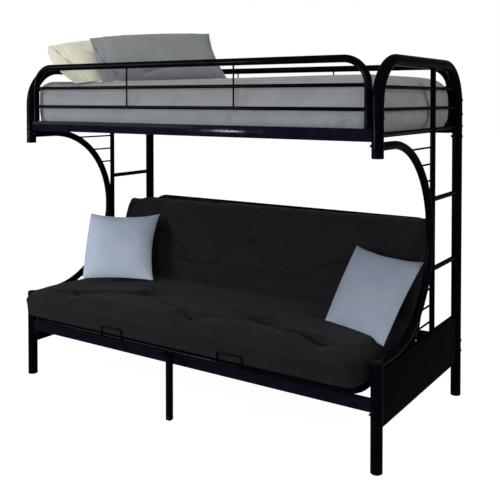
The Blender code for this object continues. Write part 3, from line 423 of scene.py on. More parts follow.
# Centre leg: a 25 mm square tube with a steel plate welded on its top, screwed under the front of
# the seat tube, and closed below by a plastic plug. It slides with the seat.
leg_low, leg_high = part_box("centre_leg")
leg_foot_low, leg_foot_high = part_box("centre_leg_foot")
leg_half = 0.0127
leg_plate_thickness = 0.003
leg_plate_low = leg_high.z - leg_plate_thickness
block(Vector((-leg_half, seat_front - leg_half, leg_low.z)),
      Vector((leg_half, seat_front + leg_half, leg_plate_low)), 2, 0.0025)
fit(finish_piece("centre_leg_tube", tube_paint), "seat", "centre_leg")
block(Vector((leg_low.x, leg_low.y, leg_plate_low)), leg_high, 2, 0.006)
fit(finish_piece("centre_leg_plate", tube_paint), "seat")
block(leg_foot_low, leg_foot_high, 2, 0.003)
leg_foot_edge = leg_foot_low.z + 0.0001
select_edges(lambda a, b: a.z < leg_foot_edge and b.z < leg_foot_edge)
bpy.ops.mesh.bevel(offset=0.0015, segments=3, affect="EDGES")
fit(finish_piece("centre_leg_plug", moulded_plastic), "seat", "centre_leg_foot")

# Back frame: the same tube bent into a tall U whose feet turn on the hinge pins. Slats welded
# across it carry the futon's back, and the whole frame folds down flat behind the seat.
back_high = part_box("back_frame_tube")[1]
hinge_y, hinge_z = 0.1685, 0.320
back_lean = math.radians(29.5)
back_x = back_high.x - seat_radius
back_length = 0.622
back_bend = 0.080
back_foot = -0.015


def on_back(x, along, ahead=0):
    """A place on the leaning back: how far up it and how far in front of its middle."""
    return Vector((x, hinge_y + along * math.sin(back_lean) - ahead * math.cos(back_lean),
                   hinge_z + along * math.cos(back_lean) + ahead * math.sin(back_lean)))


up_back = on_back(0, 1) - on_back(0, 0)
back_out = on_back(0, 0, 1) - on_back(0, 0, 0)
back_tube = bent_tube(
    "back_u_tube", on_back(-back_x, back_foot), up_back, seat_diameter,
    [(up_back * (back_length - back_bend - back_foot)).to_tuple(),
     (on_back(back_bend - back_x, back_length - back_bend), back_out, 90, 16),
     (2 * (back_x - back_bend), 0, 0),
     (on_back(back_x - back_bend, back_length - back_bend), back_out, 90, 16),
     (-up_back * (back_length - back_bend - back_foot)).to_tuple()], 32,
)
fit(back_tube, "back", "back_frame_tube")

# Decks: nine rolled steel slats on the seat and nine on the back, each row welded from its U tube
# to a cross tube. Two flat lugs on the seat's cross tube hold the hinge pins of the back.
slat_half = 0.016
slat_thickness = 0.003
slat_inset = 0.110
slat_step = 2 * (back_x - slat_inset) / 8
slat_under = seat_radius + paint_gap
seat_cross_y = hinge_y - 0.050
back_cross = 0.075
# The cross tubes stand a little higher than the U tubes, so that their welds take in the slats
weld_rise = 0.0013
seat_cross = bent_tube("seat_cross_tube", (-seat_x, seat_cross_y, seat_z + weld_rise), (1, 0, 0),
                       seat_diameter, [(2 * seat_x, 0, 0)], 32)
fit(seat_cross, "seat", "seat_deck")
back_brace = bent_tube("back_cross_tube", on_back(-back_x, back_cross, weld_rise), (1, 0, 0),
                       seat_diameter, [(2 * back_x, 0, 0)], 32)
fit(back_brace, "back", "back_deck")
block(Vector((-slat_half, seat_front, seat_z + slat_under)),
      Vector((slat_half, seat_cross_y, seat_z + slat_under + slat_thickness)), 1, 0.0012, 3)
seat_slat = finish_piece("seat_slat_centre", rail_paint)
block(Vector((-slat_half, slat_under, back_cross)),
      Vector((slat_half, slat_under + slat_thickness, back_length)), 2, 0.0012, 3)
back_slat = finish_piece("back_slat_centre", rail_paint)
onto_back = Matrix.Translation((0, hinge_y, hinge_z)) @ Matrix.Rotation(-back_lean, 4, "X")
back_slat.data.transform(onto_back @ Matrix.Diagonal((1, -1, 1, 1)))
back_slat.data.flip_normals()
for side in (-4, -3, -2, -1, 1, 2, 3, 4):
    spot = Matrix.Translation((side * slat_step, 0, 0))
    number = str(side + 5)
    fit(copy_piece(seat_slat, "seat_slat_" + number, spot), "seat")
    fit(copy_piece(back_slat, "back_slat_" + number, spot), "back")
fit(seat_slat, "seat")
fit(back_slat, "back")
lug_x = back_x + seat_radius + 0.0023
lug_half = 0.002
lug_eye = 0.015
block(Vector((-lug_x - lug_half, seat_cross_y, hinge_z - lug_eye)),
      Vector((-lug_x + lug_half, hinge_y + lug_eye, hinge_z + lug_eye)), 0, 0.0145, 8)
lug = finish_piece("left_hinge_lug", rail_paint)
fit(copy_piece(lug, "right_hinge_lug", mirror), "seat")
fit(lug, "seat")

# Hidden steel and slide parts. The slats of the upper bunk lie on angle ledges welded between the
# rails, and the seat's nylon glides run in two channels. The channels have the rails' paint.
for node in ("upper_slat_frame", "left_seat_runner", "right_seat_runner"):
    for slot_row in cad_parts[node].material_slots:
        slot_row.material = rail_paint

# Moulded nylon: an off-black, waxy plastic with fine flow marks along the moulding
nylon = new_material("moulded_nylon", {"IOR": 1.53, "Specular IOR Level": 0.4})
place = add_node(nylon, "TexCoord").outputs["Object"]
stretched = add_node(nylon, "Mapping", {"Vector": place, "Scale": (300, 40, 300)})
flow = add_node(nylon, "TexNoise", {"Vector": stretched.outputs["Vector"], "Scale": 1, "Detail": 3})
flow_tint = add_node(nylon, "ValToRGB", {"Fac": flow.outputs["Fac"]}, ((0, "#242427"), (1, "#36363A")))
flow_gloss = add_node(nylon, "MapRange", {"Value": flow.outputs["Fac"], "To Min": 0.35, "To Max": 0.55})
flow_bump = add_node(nylon, "Bump", {"Height": flow.outputs["Fac"], "Strength": 0.2, "Distance": 0.0002})
drive(nylon, base=flow_tint.outputs["Color"], roughness=flow_gloss.outputs["Result"],
      normal=flow_bump.outputs["Normal"])

# Black zinc plating on the pins and bolts: a dark metal with a faint iridescent yellow in patches
black_zinc = new_material("black_zinc_plated_steel", {"Metallic": 1.0})
place = add_node(black_zinc, "TexCoord").outputs["Object"]
plating = add_node(black_zinc, "TexNoise", {"Vector": place, "Scale": 260, "Detail": 4})
plating_tint = add_node(black_zinc, "ValToRGB", {"Fac": plating.outputs["Fac"]},
                        ((0.35, "#1C1D22"), (0.75, "#34322F")))
plating_gloss = add_node(black_zinc, "MapRange", {"Value": plating.outputs["Fac"], "To Min": 0.28,
                                                  "To Max": 0.50})
plating_bump = add_node(black_zinc, "Bump", {"Height": plating.outputs["Fac"], "Strength": 0.15,
                                             "Distance": 0.0001})
drive(black_zinc, base=plating_tint.outputs["Color"], roughness=plating_gloss.outputs["Result"],
      normal=plating_bump.outputs["Normal"])
for side in ("left", "right"):
    for slot_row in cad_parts[side + "_seat_glide"].material_slots:
        slot_row.material = nylon
    for slot_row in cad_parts[side + "_hinge_pin"].material_slots:
        slot_row.material = black_zinc

# Bolts: round-headed, 6 mm, with heads 13 mm across on the outer side of the posts, where the rails
# and the end frames meet. On the posts' inner side cap nuts close the threads just under the rails.
bolt_head = 0.0065
bolt_rise = 0.0032
bolt_heights = (1.465, 1.395, 1.335, 1.285, 0.275, 0.225)
nut_heights = {"upper": 1.285, "lower": 0.225}
nut_stretch = 2.4
clear_selection()
bpy.ops.mesh.primitive_cylinder_add(vertices=24, radius=bolt_head, depth=2 * bolt_rise,
                                    location=(-end_x - post_radius, front_y, 0),
                                    rotation=(0, math.pi / 2, 0))
outer_face = -end_x - post_radius - 0.9 * bolt_rise
bpy.ops.object.transform_apply(location=True, rotation=True, scale=True)
select_edges(lambda a, b: a.x < outer_face and b.x < outer_face)
bpy.ops.mesh.bevel(offset=bolt_rise * 0.95, segments=4, affect="EDGES")
bolt = finish_piece("bolt_pattern", black_zinc)
for row, back in (("front", 0), ("rear", rear_y - front_y)):
    for index, z in enumerate(bolt_heights):
        name = "left_" + row + "_bolt_" + str(index + 1)
        fit_both_ends(copy_piece(bolt, name, Matrix.Translation((0, back, z))))
for row, back in (("front", 0), ("rear", rear_y - front_y)):
    for level, z in nut_heights.items():
        inward = (Matrix.Translation((post_radius - end_x, back, z))
                  @ Matrix.Diagonal((-nut_stretch, 1, 1, 1))
                  @ Matrix.Translation((end_x + post_radius, 0, 0)))
        fit_both_ends(copy_piece(bolt, "left_" + row + "_cap_nut_" + level, inward))
bpy.data.objects.remove(bolt)

# Futon mattress: one pad of foam and cotton in a charcoal twill cover, tufted through with thread,
# and folded at its middle. Its seat half lies on the seat slats and its back half on the back
# slats, so it bends between the two when the futon opens; here it is made in its sitting shape
# only, fixed to neither body.
pad_half_width = 0.955
pad_thickness = 0.122
pad_edge = np.array([0.024, 0.026, 0.044])
pad_front = -0.546
deck_height = 0.3378
fold_angle = math.pi / 2 - back_lean
fold_radius = 0.190
deck_offset = deck_height - hinge_z
fold_corner = Vector((0, hinge_y - deck_offset * math.tan(fold_angle / 2), deck_height))
fold_set_back = fold_radius * math.tan(fold_angle / 2)
seat_run = fold_corner.y - fold_set_back - pad_front
fold_run = fold_radius * fold_angle
back_run = 0.600 - deck_offset * math.tan(fold_angle / 2) - fold_set_back
pad_length = seat_run + fold_run + back_run
pad_rows = (136, 94, 9)
# Tufts, as places across the pad and along it from its front edge
seat_tufts = [(-0.68, 0.160), (0.08, 0.130), (0.733, 0.147), (-0.363, 0.350), (0.396, 0.270)]
back_tufts = [(-0.343, 0.886), (0.375, 0.881), (-0.66, 1.035), (-0.018, 1.045), (0.68, 1.035)]
tuft_depth = 0.017
tuft_width = 0.026
front_roll = 0.125
front_corners = ((1, 0.13), (-1, 0.055))
back_shift = 0.024
back_sag = 0.015
corner_sag = 0.014
corner_spread = 0.010
worn_thin = 0.34
end_cut = 0.026


def fold_pad(flat):
    """Bends the flat pad up at its middle: across, along and height become a place on the futon."""
    across, along, height = flat.T
    turned = np.clip((along - seat_run) / fold_run, 0, 1) * fold_angle
    before = np.minimum(along, seat_run)
    after = np.maximum(along - seat_run - fold_run, 0)
    reach = fold_radius - height
    y = pad_front + before + reach * np.sin(turned) + after * math.cos(fold_angle)
    z = deck_height + fold_radius - reach * np.cos(turned) + after * math.sin(fold_angle)
    return np.stack([across, y, z], 1)


def lattice_block(rows):
    """A block of even square faces, two units across, ready to be shaped into a cushion."""
    clear_selection()
    bpy.ops.mesh.primitive_cube_add(size=2)
    for axis, count in enumerate(rows):
        select_edges(lambda a, b: abs((a - b).normalized()[axis]) > 0.99)
        bpy.ops.mesh.subdivide(number_cuts=count - 1)
    bpy.ops.object.mode_set(mode="OBJECT")
    return bpy.context.object


def points_of(piece):
    """The piece's points as an array."""
    places = np.empty(len(piece.data.vertices) * 3)
    piece.data.vertices.foreach_get("co", places)
    return places.reshape(-1, 3)


def move_points(piece, places):
    """Puts the piece's points at new places."""
    piece.data.vertices.foreach_set("co", np.ascontiguousarray(places, float).ravel())
    piece.data.update()


def swell(piece, held, pressure, cap, frames, spare):
    """Fills a closed cover by cloth simulation. Held points stay, and none moves past the cap."""
    start = points_of(piece)
    group = piece.vertex_groups.new(name="held")
    for index, weight in held.items():
        group.add([index], weight, "REPLACE")
    cloth = piece.modifiers.new("filling", "CLOTH")
    cloth.settings.vertex_group_mass = "held"
    cloth.settings.use_pressure = True
    cloth.settings.uniform_pressure_force = pressure
    cloth.settings.effector_weights.gravity = 0
    cloth.settings.tension_stiffness = 15
    cloth.settings.compression_stiffness = 15
    cloth.settings.bending_stiffness = 0.3
    # Spare cloth makes the cover a little larger than its shape, so that it puckers
    cloth.settings.shrink_min = -spare
    cloth.collision_settings.use_collision = False
    for step in range(1, frames + 1):
        bpy.context.scene.frame_set(step)
    filled = piece.evaluated_get(bpy.context.evaluated_depsgraph_get())
    places = np.array([point.co for point in filled.data.vertices], float)
    piece.modifiers.remove(cloth)
    piece.vertex_groups.remove(group)
    bpy.context.scene.frame_set(1)
    moved = places - start
    far = np.linalg.norm(moved, axis=1)
    moved *= np.minimum(1, cap / np.maximum(far, 1e-9))[:, None]
    move_points(piece, start + moved)


def round_edges(shares, half, edge):
    """Turns the shares of a block into places with its edges and corners rounded."""
    places = shares * half
    inner = np.clip(places, edge - half, half - edge)
    out = (places - inner) / edge
    far = np.linalg.norm(out, axis=1)
    out *= np.where(far > 0, 1 / np.maximum(far, 1e-9), 0)[:, None]
    return inner + out * edge


futon = lattice_block(pad_rows)
shares = points_of(futon)
flat = round_edges(shares, np.array([pad_half_width, pad_length / 2, pad_thickness / 2]), pad_edge)
flat += np.array([0, pad_length / 2, pad_thickness / 2])
# The back half sits a little to the left of the frame's middle
flat[:, 0] -= back_shift * np.clip((flat[:, 1] - seat_run) / 0.45, 0, 1)
# The filling thins out and rolls over the front edge, whose corners are round, the right one more
flat[:, 2] *= 0.52 + 0.48 * np.sqrt(1 - np.clip(1 - flat[:, 1] / front_roll, 0, 1) ** 2)
for side, reach in front_corners:
    out = np.clip((side * flat[:, 0] - pad_half_width + reach) / reach, 0, 1)
    ahead = np.clip(1 - flat[:, 1] / reach, 0, 1)
    flat[:, 0] -= side * reach * out * (1 - np.sqrt(1 - ahead ** 2 / 2))
    flat[:, 1] += reach * ahead * (1 - np.sqrt(1 - out ** 2 / 2))
# The back sags towards its left corner, which spreads outwards and is worn thin
near_top = np.clip((flat[:, 1] - pad_length + 0.25) / 0.25, 0, 1)
flat[:, 1] -= back_sag * np.clip(0.4 - flat[:, 0], 0, 1) * near_top
flat[:, 0] -= corner_spread * np.clip((-flat[:, 0] - 0.68) / 0.28, 0, 1) ** 2 * near_top
flat[:, 1] -= corner_sag * np.clip((-flat[:, 0] - 0.84) / 0.10, 0, 1) * near_top
worn = np.clip(-0.35 - flat[:, 0], 0, 0.6) / 0.6
top_roll = 1 - np.sqrt(1 - np.clip(1 - (pad_length - flat[:, 1]) / 0.12, 0, 1) ** 2)
flat[:, 2] *= 1 - worn_thin * worn * top_roll
# Below, the left end is cut in, so that it lies clear of the end panel when the futon is open
low_edge = np.clip(1 - flat[:, 2] / 0.085, 0, 1) * np.clip((-flat[:, 0] - 0.90) / 0.05, 0, 1)
flat[:, 0] += end_cut * low_edge * np.clip((flat[:, 1] - seat_run) / 0.20, 0, 1)
upper = shares[:, 2] > 0.999
pull = np.zeros(len(flat))
held = {int(index): 1.0 for index in np.nonzero(shares[:, 2] < -0.999)[0]}
for across, along in seat_tufts + back_tufts:
    away = np.hypot(flat[:, 0] - across, flat[:, 1] - along)
    pull = np.maximum(pull, np.exp(-(away / tuft_width) ** 2) * upper)
    held[int(np.argmin(np.where(upper, away, 9)))] = 1.0
flat[:, 2] -= tuft_depth * pull
move_points(futon, fold_pad(flat))
swell(futon, held, 3.0, 0.018, 20, 0.006)

# The retainers and the tube hold the front edge back, and above them the cover bulges a little
held_front = -0.5040
bulge = 0.024
gather_depth = 0.0022
give = 0.012
places = points_of(futon)
held_back = held_front - bulge * np.clip((places[:, 2] - 0.374) / 0.05, 0, 1) ** 2
gathers = np.array([noise.noise(Vector((place[0] * 34, place[2] * 6, 3))) for place in places])
held_back -= gather_depth * gathers * np.clip((0.43 - places[:, 2]) / 0.05, 0, 1)
past = held_back - places[:, 1]
eased = held_back + give * np.exp(-np.maximum(past + give, 0) / give)
places[:, 1] = np.where(past > -give, eased, places[:, 1])
move_points(futon, places)


def cover_map(piece, flat, shares):
    """Gives a cushion its own map, in metres of cloth, that goes round its sides."""
    layer = piece.data.uv_layers.new(name="cloth")
    for face in piece.data.polygons:
        facing = [sum(abs(shares[v][axis]) > 0.999 for v in face.vertices) for axis in range(3)]
        side = facing.index(max(facing))
        axes = [axis for axis in range(3) if axis != side]
        for corner, vert in zip(face.loop_indices, face.vertices):
            layer.data[corner].uv = flat[vert][axes]


def woven_cloth(name, shades, thread, twill=0.0, sheen=0.05, roughness=0.85, painted_contact_shade=False):
    """Woven cotton from its dark and light dye, with a shadow tone for painted shade: in its folds, and
    also close to other pieces when that is asked for.
    """
    dark, light, shadow = shades
    made = new_material(name, {"Specular IOR Level": 0.18, "Sheen Weight": sheen, "Sheen Roughness": 0.5})
    place = add_node(made, "UVMap", uv_map="cloth").outputs["UV"]
    turned = add_node(made, "Mapping", {"Vector": place, "Rotation": (0, 0, twill)})
    # A wave repeats every 0.314 units at scale 1. The threads are drawn a few times coarser than real
    # ones, so that they show
    weft = add_node(made, "TexWave", {"Vector": place, "Scale": 0.314 / thread, "Distortion": 1.5,
                                      "Detail": 2, "Detail Scale": 0.4}, bands_direction="X")
    warp = add_node(made, "TexWave", {"Vector": turned.outputs["Vector"], "Scale": 0.314 / thread,
                                      "Distortion": 1.5, "Detail": 2, "Detail Scale": 0.4},
                    bands_direction="Y")
    threads = add_node(made, "Math", {0: weft.outputs["Fac"], 1: warp.outputs["Fac"]}, operation="ADD")
    slubs = add_node(made, "TexNoise", {"Vector": place, "Scale": 0.5 / thread, "Detail": 4})
    dye = add_node(made, "TexNoise", {"Vector": place, "Scale": 7, "Detail": 5, "Roughness": 0.6})
    tint = add_node(made, "ValToRGB", {"Fac": dye.outputs["Fac"]}, ((0.30, dark), (0.70, light)))
    # Painted shade: the colour darkens to the shadow tone in the folds and along the seams
    fold = add_node(made, "Attribute", attribute_name="fold_shade")
    deep = add_node(made, "Mix", {"Factor": fold.outputs["Fac"], 6: tint.outputs["Color"],
                                  7: colour(shadow)}, data_type="RGBA")
    if painted_contact_shade:
        # Painted shade: the cloth darkens towards its shadow tone where it turns in close to the bed
        closeness = add_node(made, "AmbientOcclusion", {"Distance": 0.22}, samples=8)
        close = add_node(made, "MapRange", {"Value": closeness.outputs["AO"], "From Min": 0.35,
                                            "From Max": 0.92, "To Min": 1.0, "To Max": 0.0})
        deep = add_node(made, "Mix", {"Factor": close.outputs["Result"], 6: deep.outputs[2],
                                      7: colour(shadow)}, data_type="RGBA")
    relief = add_node(made, "Math", {0: threads.outputs["Value"], 1: slubs.outputs["Fac"]},
                      operation="ADD")
    weave = add_node(made, "Bump", {"Height": relief.outputs["Value"], "Strength": 0.35,
                                    "Distance": thread * 0.4})
    dull = add_node(made, "MapRange", {"Value": slubs.outputs["Fac"], "To Min": roughness - 0.08,
                                       "To Max": roughness + 0.06})
    drive(made, base=deep.outputs[2], roughness=dull.outputs["Result"], normal=weave.outputs["Normal"])
    return made


# Cotton twill: a fine diagonal rib with slubs, matt, with a faint pale nap at grazing angles
charcoal_twill = woven_cloth("charcoal_cotton_twill", ("#0F0F13", "#141417", "#020208"), 0.0016,
                             math.radians(45), 0.03, 0.88)
cover_map(futon, flat, shares)


def finish_cushion(piece, name, material, levels=1):
    """Smooths a shaped cushion with a subdivision surface and gives it its cloth."""
    clear_selection()
    piece.select_set(True)
    bpy.context.view_layer.objects.active = piece
    smooth = piece.modifiers.new("smooth", "SUBSURF")
    smooth.levels = levels
    smooth.render_levels = levels
    bpy.ops.object.modifier_apply(modifier="smooth")
    piece.data.shade_smooth()
    piece.name = name
    piece.data.name = name
    piece.data.materials.clear()
    piece.data.materials.append(material)


finish_cushion(futon, "futon_mattress", charcoal_twill)


def unfold(places):
    """Finds how far along the flat pad each place of the folded one lies."""
    y = places[:, 1] - pad_front - seat_run
    z = places[:, 2] - deck_height - fold_radius
    turned = np.arctan2(y, -z)
    back = ((y - fold_radius * math.sin(fold_angle)) * math.cos(fold_angle)
            + (z + fold_radius * math.cos(fold_angle)) * math.sin(fold_angle))
    along = np.where(turned > fold_angle, fold_run + back, fold_radius * turned)
    return seat_run + np.where(y < 0, y, along)


def crease(piece, across, along, lines, outward, tone):
    """Presses thin folds into one side of a soft piece, each fading out at its ends, and paints shade
    into their valleys.
    """
    places = points_of(piece)
    facing = np.empty(len(places) * 3)
    piece.data.vertex_normals.foreach_get("vector", facing)
    facing = facing.reshape(-1, 3)
    depth = np.zeros(len(places))
    shade = np.zeros(len(places))
    deepest = max(line[2] for line in lines)
    for start, end, deep, wide in lines:
        start, end = np.array(start), np.array(end)
        run = np.linalg.norm(end - start)
        way = (end - start) / run
        passed = (across - start[0]) * way[0] + (along - start[1]) * way[1]
        aside = np.abs((across - start[0]) * way[1] - (along - start[1]) * way[0])
        wander = 0.004 * np.sin(passed * 38 + start[0] * 9)
        fade = np.clip(passed / (0.3 * run), 0, 1) * np.clip((run - passed) / (0.3 * run), 0, 1)
        valley = np.exp(-((aside - wander) / wide) ** 2)
        ridge = 0.35 * np.exp(-((aside - wander - 2.2 * wide) / (1.5 * wide)) ** 2)
        depth += deep * np.sqrt(fade) * (valley - ridge)
        dark = deep / deepest * np.sqrt(fade)
        shade = np.maximum(shade, dark * np.exp(-((aside - wander) / (0.55 * wide)) ** 2))
    seen = facing @ np.array(outward) > 0.2
    move_points(piece, places - facing * (depth * seen)[:, None])
    # Painted shade: how far the colour darkens to the shadow tone along each fold
    folded = piece.data.attributes.new("fold_shade", "FLOAT", "POINT")
    folded.data.foreach_set("value", tone * shade * seen)


# Folds as lines across the pad and along it, with their depth and width: a short one at each tuft,
# and longer ones from tuft to tuft and along the bend
back_start = seat_run + fold_run - 0.1211
folds = [((x - 0.050, s + 0.006), (x + 0.070, s - 0.006), 0.007, 0.007)
         for x, s in seat_tufts + back_tufts]
folds += [
    ((-0.390, 0.355), (-0.180, 0.235), 0.006, 0.011), ((-0.230, 0.255), (0.125, 0.115), 0.005, 0.010),
    ((0.040, 0.365), (0.420, 0.240), 0.006, 0.011), ((0.580, 0.205), (0.760, 0.135), 0.006, 0.010),
    ((-0.600, back_start + 0.235), (-0.300, back_start + 0.210), 0.005, 0.010),
    ((-0.350, back_start + 0.212), (0.380, back_start + 0.206), 0.005, 0.011),
    ((0.350, back_start + 0.206), (0.700, back_start + 0.225), 0.005, 0.011),
    ((-0.420, back_start + 0.143), (0.170, back_start + 0.178), 0.005, 0.012),
    ((-0.600, back_start + 0.100), (0.900, back_start + 0.085), 0.006, 0.018),
    ((-0.620, back_start + 0.045), (0.100, back_start + 0.030), 0.006, 0.015),
    ((-0.560, 0.430), (-0.150, 0.400), 0.005, 0.012), ((0.450, 0.430), (0.850, 0.445), 0.005, 0.012),
]
# The futon's folds also get painted shade, at 0.8 of the shadow tone
crease(futon, points_of(futon)[:, 0], unfold(points_of(futon)), folds, (0, -0.5, 0.85), 0.8)
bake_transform(futon)
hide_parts("futon_seat_pad", "futon_back_pad")

# Upper mattress, in a fitted cotton sheet that is drawn tight over it. The sheet's elastic hem is
# tucked below, so its sides show soft folds near the hem and at the corners.
bed_low, bed_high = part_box("upper_mattress")
bed_middle = np.array([-0.004, (bed_low.y + bed_high.y) / 2, 0])
bed_height = 0.229
bed_crown = 0.014
end_draw = {"left": 0.014, "right": 0.025}
bed_half = np.array([bed_high.x + 0.002, (bed_high.y - bed_low.y) / 2 - 0.003, bed_height / 2])
bed = lattice_block((150, 74, 18))
bed_shares = points_of(bed)
bed_flat = round_edges(bed_shares, bed_half, np.array([0.018, 0.020, 0.038]))
# The ends draw in above and below their middle, and the top is a little fuller to the right
near_end = np.clip((np.abs(bed_shares[:, 0]) - 0.8) / 0.2, 0, 1) ** 2
drawn = np.where(bed_flat[:, 0] > 0, end_draw["right"], end_draw["left"])
drawn *= np.abs(bed_flat[:, 2] / bed_half[2]) ** 3.4 * near_end
bed_flat[:, 0] -= np.sign(bed_flat[:, 0]) * drawn
bed_flat[:, 2] += bed_height / 2
fuller = (1 - bed_shares[:, 1] ** 4) * (1 - bed_shares[:, 0] ** 40)
fuller *= np.clip(bed_shares[:, 0] + 0.3, 0, 1)
bed_flat[:, 2] += bed_crown * fuller * np.clip(bed_shares[:, 2], 0, 1)
bed_places = bed_flat + bed_middle + np.array([0, 0, bed_low.z + 0.0005])
bed_held = {int(index): 1.0 for index in np.nonzero(bed_shares[:, 2] < -0.85)[0]}
move_points(bed, bed_places)
swell(bed, bed_held, 1.2, 0.010, 20, 0.015)
# Cotton percale: a fine plain weave with a smooth matt face and soft, uneven dye
percale = woven_cloth("grey_cotton_percale", ("#7C8083", "#888B8D", "#5F626B"), 0.0014)
cover_map(bed, bed_flat, bed_shares)
finish_cushion(bed, "mattress_in_fitted_sheet", percale)
# The sheet's folds, as lines along its side and up it, with their depth and width
hang = bed_low.z
drapes = [
    ((0.880, hang + 0.010), (0.862, hang + 0.200), 0.0022, 0.007),
    ((0.905, hang + 0.005), (0.885, hang + 0.170), 0.0025, 0.006),
    ((0.925, hang + 0.005), (0.910, hang + 0.215), 0.0025, 0.007),
    ((0.850, hang + 0.005), (0.825, hang + 0.120), 0.0020, 0.007),
    ((0.780, hang + 0.005), (0.745, hang + 0.070), 0.0018, 0.008),
    ((-0.430, hang + 0.010), (-0.350, hang + 0.062), 0.0016, 0.008),
    ((-0.180, hang + 0.020), (-0.060, hang + 0.075), 0.0016, 0.010),
    ((0.050, hang + 0.010), (0.150, hang + 0.080), 0.0016, 0.010),
    ((-0.700, hang + 0.015), (-0.610, hang + 0.060), 0.0014, 0.010),
]
bed_points = points_of(bed)
# The sheet's folds get faint painted shade, at 0.35 of the shadow tone
crease(bed, bed_points[:, 0], bed_points[:, 2], drapes, (0, -1, 0), 0.35)
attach(bed, "bunk_frame")
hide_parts("upper_mattress")

# Pillows. Each is two panels of cloth sewn round their edge and stuffed, so it is knife-edged: its
# corners stay pointed while its sides draw in and pucker. They are filled flat, then set down.


def rest_clear(piece, others, gap=0.0015, deepest=0.09):
    """Flattens a soft piece where it would enter what it leans on."""
    places = points_of(piece)
    for other in others:
        shape = bmesh.new()
        shape.from_mesh(other.data)
        tree = BVHTree.FromBMesh(shape)
        shape.free()
        for index, place in enumerate(places):
            spot, facing, _, away = tree.find_nearest(Vector(place), deepest)
            if spot is not None and (Vector(place) - spot).dot(facing) < gap:
                places[index] = spot + facing * gap
    move_points(piece, places)


def sewn_pillow(size, thickness, rows, draw_in, puckers, fullness, hem=None):
    """Shapes a stuffed cover and fills it: places from -1 to 1 across its face, heights in metres."""
    pillow = lattice_block((*rows, 2))
    shares = points_of(pillow)
    across, along, side = shares.T
    half = np.array([size[0] / 2, size[1] / 2])
    # The left, right, lower and upper sides draw in between the corners, each by its own share, and
    # the loft falls to the seam on a rounded curve
    left, right, lower, upper = draw_in
    x = across * (1 - np.where(across < 0, left, right) * (1 - along ** 2) * np.abs(across) ** 3)
    y = along * (1 - np.where(along < 0, lower, upper) * (1 - across ** 2) * np.abs(along) ** 3)
    upper_full, lower_full = fullness
    rise = 1 - np.abs(along) ** np.where(along < 0, lower_full, upper_full)
    loft = ((1 - np.abs(across) ** upper_full) * rise) ** 0.60
    seam_half = 0.0012
    height = side * (seam_half + (thickness / 2 - seam_half) * loft)
    # Gathers run in from the seam and die out within a few centimetres
    rim = np.minimum((1 - np.abs(across)) * half[0], (1 - np.abs(along)) * half[1])
    round_seam = np.arctan2(y * half[1], x * half[0])
    for index in range(len(shares)):
        reach = math.exp(-(rim[index] - 0.010) ** 2 / 0.00028)
        spot = Vector((math.cos(round_seam[index]) * 9, math.sin(round_seam[index]) * 9, side[index] * 3))
        fine = noise.noise(spot * 1.6 + Vector((size[0] * 90, 0, 0)))
        broad = noise.noise(Vector((x[index] * 1.7, y[index] * 1.7, side[index] * 2 + size[1] * 50)))
        height[index] += side[index] * loft[index] * (puckers * fine * reach + 0.006 * broad)
    if hem is not None:
        # The open end of a pillowcase is a flat band past a soft fold
        past_hem = np.clip((hem - across) / 0.05, 0, 1)
        fold = np.exp(-((across - hem + 0.02 * np.sin(along * 2)) / 0.022) ** 2)
        height *= (1 - 0.30 * past_hem)
        height -= side * loft * 0.008 * fold
    flat = np.stack([x * half[0], y * half[1], height], 1)
    move_points(pillow, flat)
    seam = {int(index): 1.0 for index in np.nonzero(rim < 0.0001)[0]}
    swell(pillow, seam, 1.5, 0.004, 12, 0.004)
    filled = points_of(pillow)
    filled[:, :2] /= half
    return pillow, filled, shares


def set_on_corners(filled, corners, lean_out):
    """Places a filled pillow by its four corners: top left, top right, bottom right, bottom left."""
    top_left, top_right, bottom_right, bottom_left = [np.array(corner) for corner in corners]
    across, along, height = filled.T
    right = (across[:, None] + 1) / 2
    up = (along[:, None] + 1) / 2
    spot = (top_left * (1 - right) * up + top_right * right * up + bottom_right * right * (1 - up)
            + bottom_left * (1 - right) * (1 - up))
    facing = np.cross(top_right - bottom_left, top_left - bottom_right)
    facing = facing / np.linalg.norm(facing)
    if np.dot(facing, lean_out) < 0:
        facing = -facing
    return spot + facing * height[:, None]


def turned_by(turn, lean, roll):
    """The directions of a pillow's width, length and thickness, from its three angles in degrees."""
    return np.array(Matrix.Rotation(math.radians(turn), 3, "Z")
                    @ Matrix.Rotation(math.radians(90 - lean), 3, "X")
                    @ Matrix.Rotation(math.radians(roll), 3, "Z"))


# Cotton canvas for the throw pillows and percale for the two cases: plain weaves whose slubs
# and uneven dye break up the colour. The right pillow's canvas is a darker copy of the left one's,
# painted shade, and the grey case gets painted shade close to the bed.
slate_canvas = woven_cloth("slate_blue_cotton_canvas", ("#9FAABA", "#AAB4C3", "#6C7684"), 0.0015)
# Painted shade: the right throw's canvas is a darker copy of the slate canvas, for the shade it lies in
shaded_canvas = woven_cloth("grey_blue_cotton_canvas", ("#7D8694", "#88909E", "#5F6874"), 0.0015)
grey_percale = woven_cloth("grey_pillowcase_percale", ("#6B7075", "#757A7F", "#30364A"), 0.0014,
                           painted_contact_shade=True)
cream_percale = woven_cloth("cream_pillowcase_percale", ("#B6B7A9", "#BFC0B4", "#7E7F72"), 0.0014)

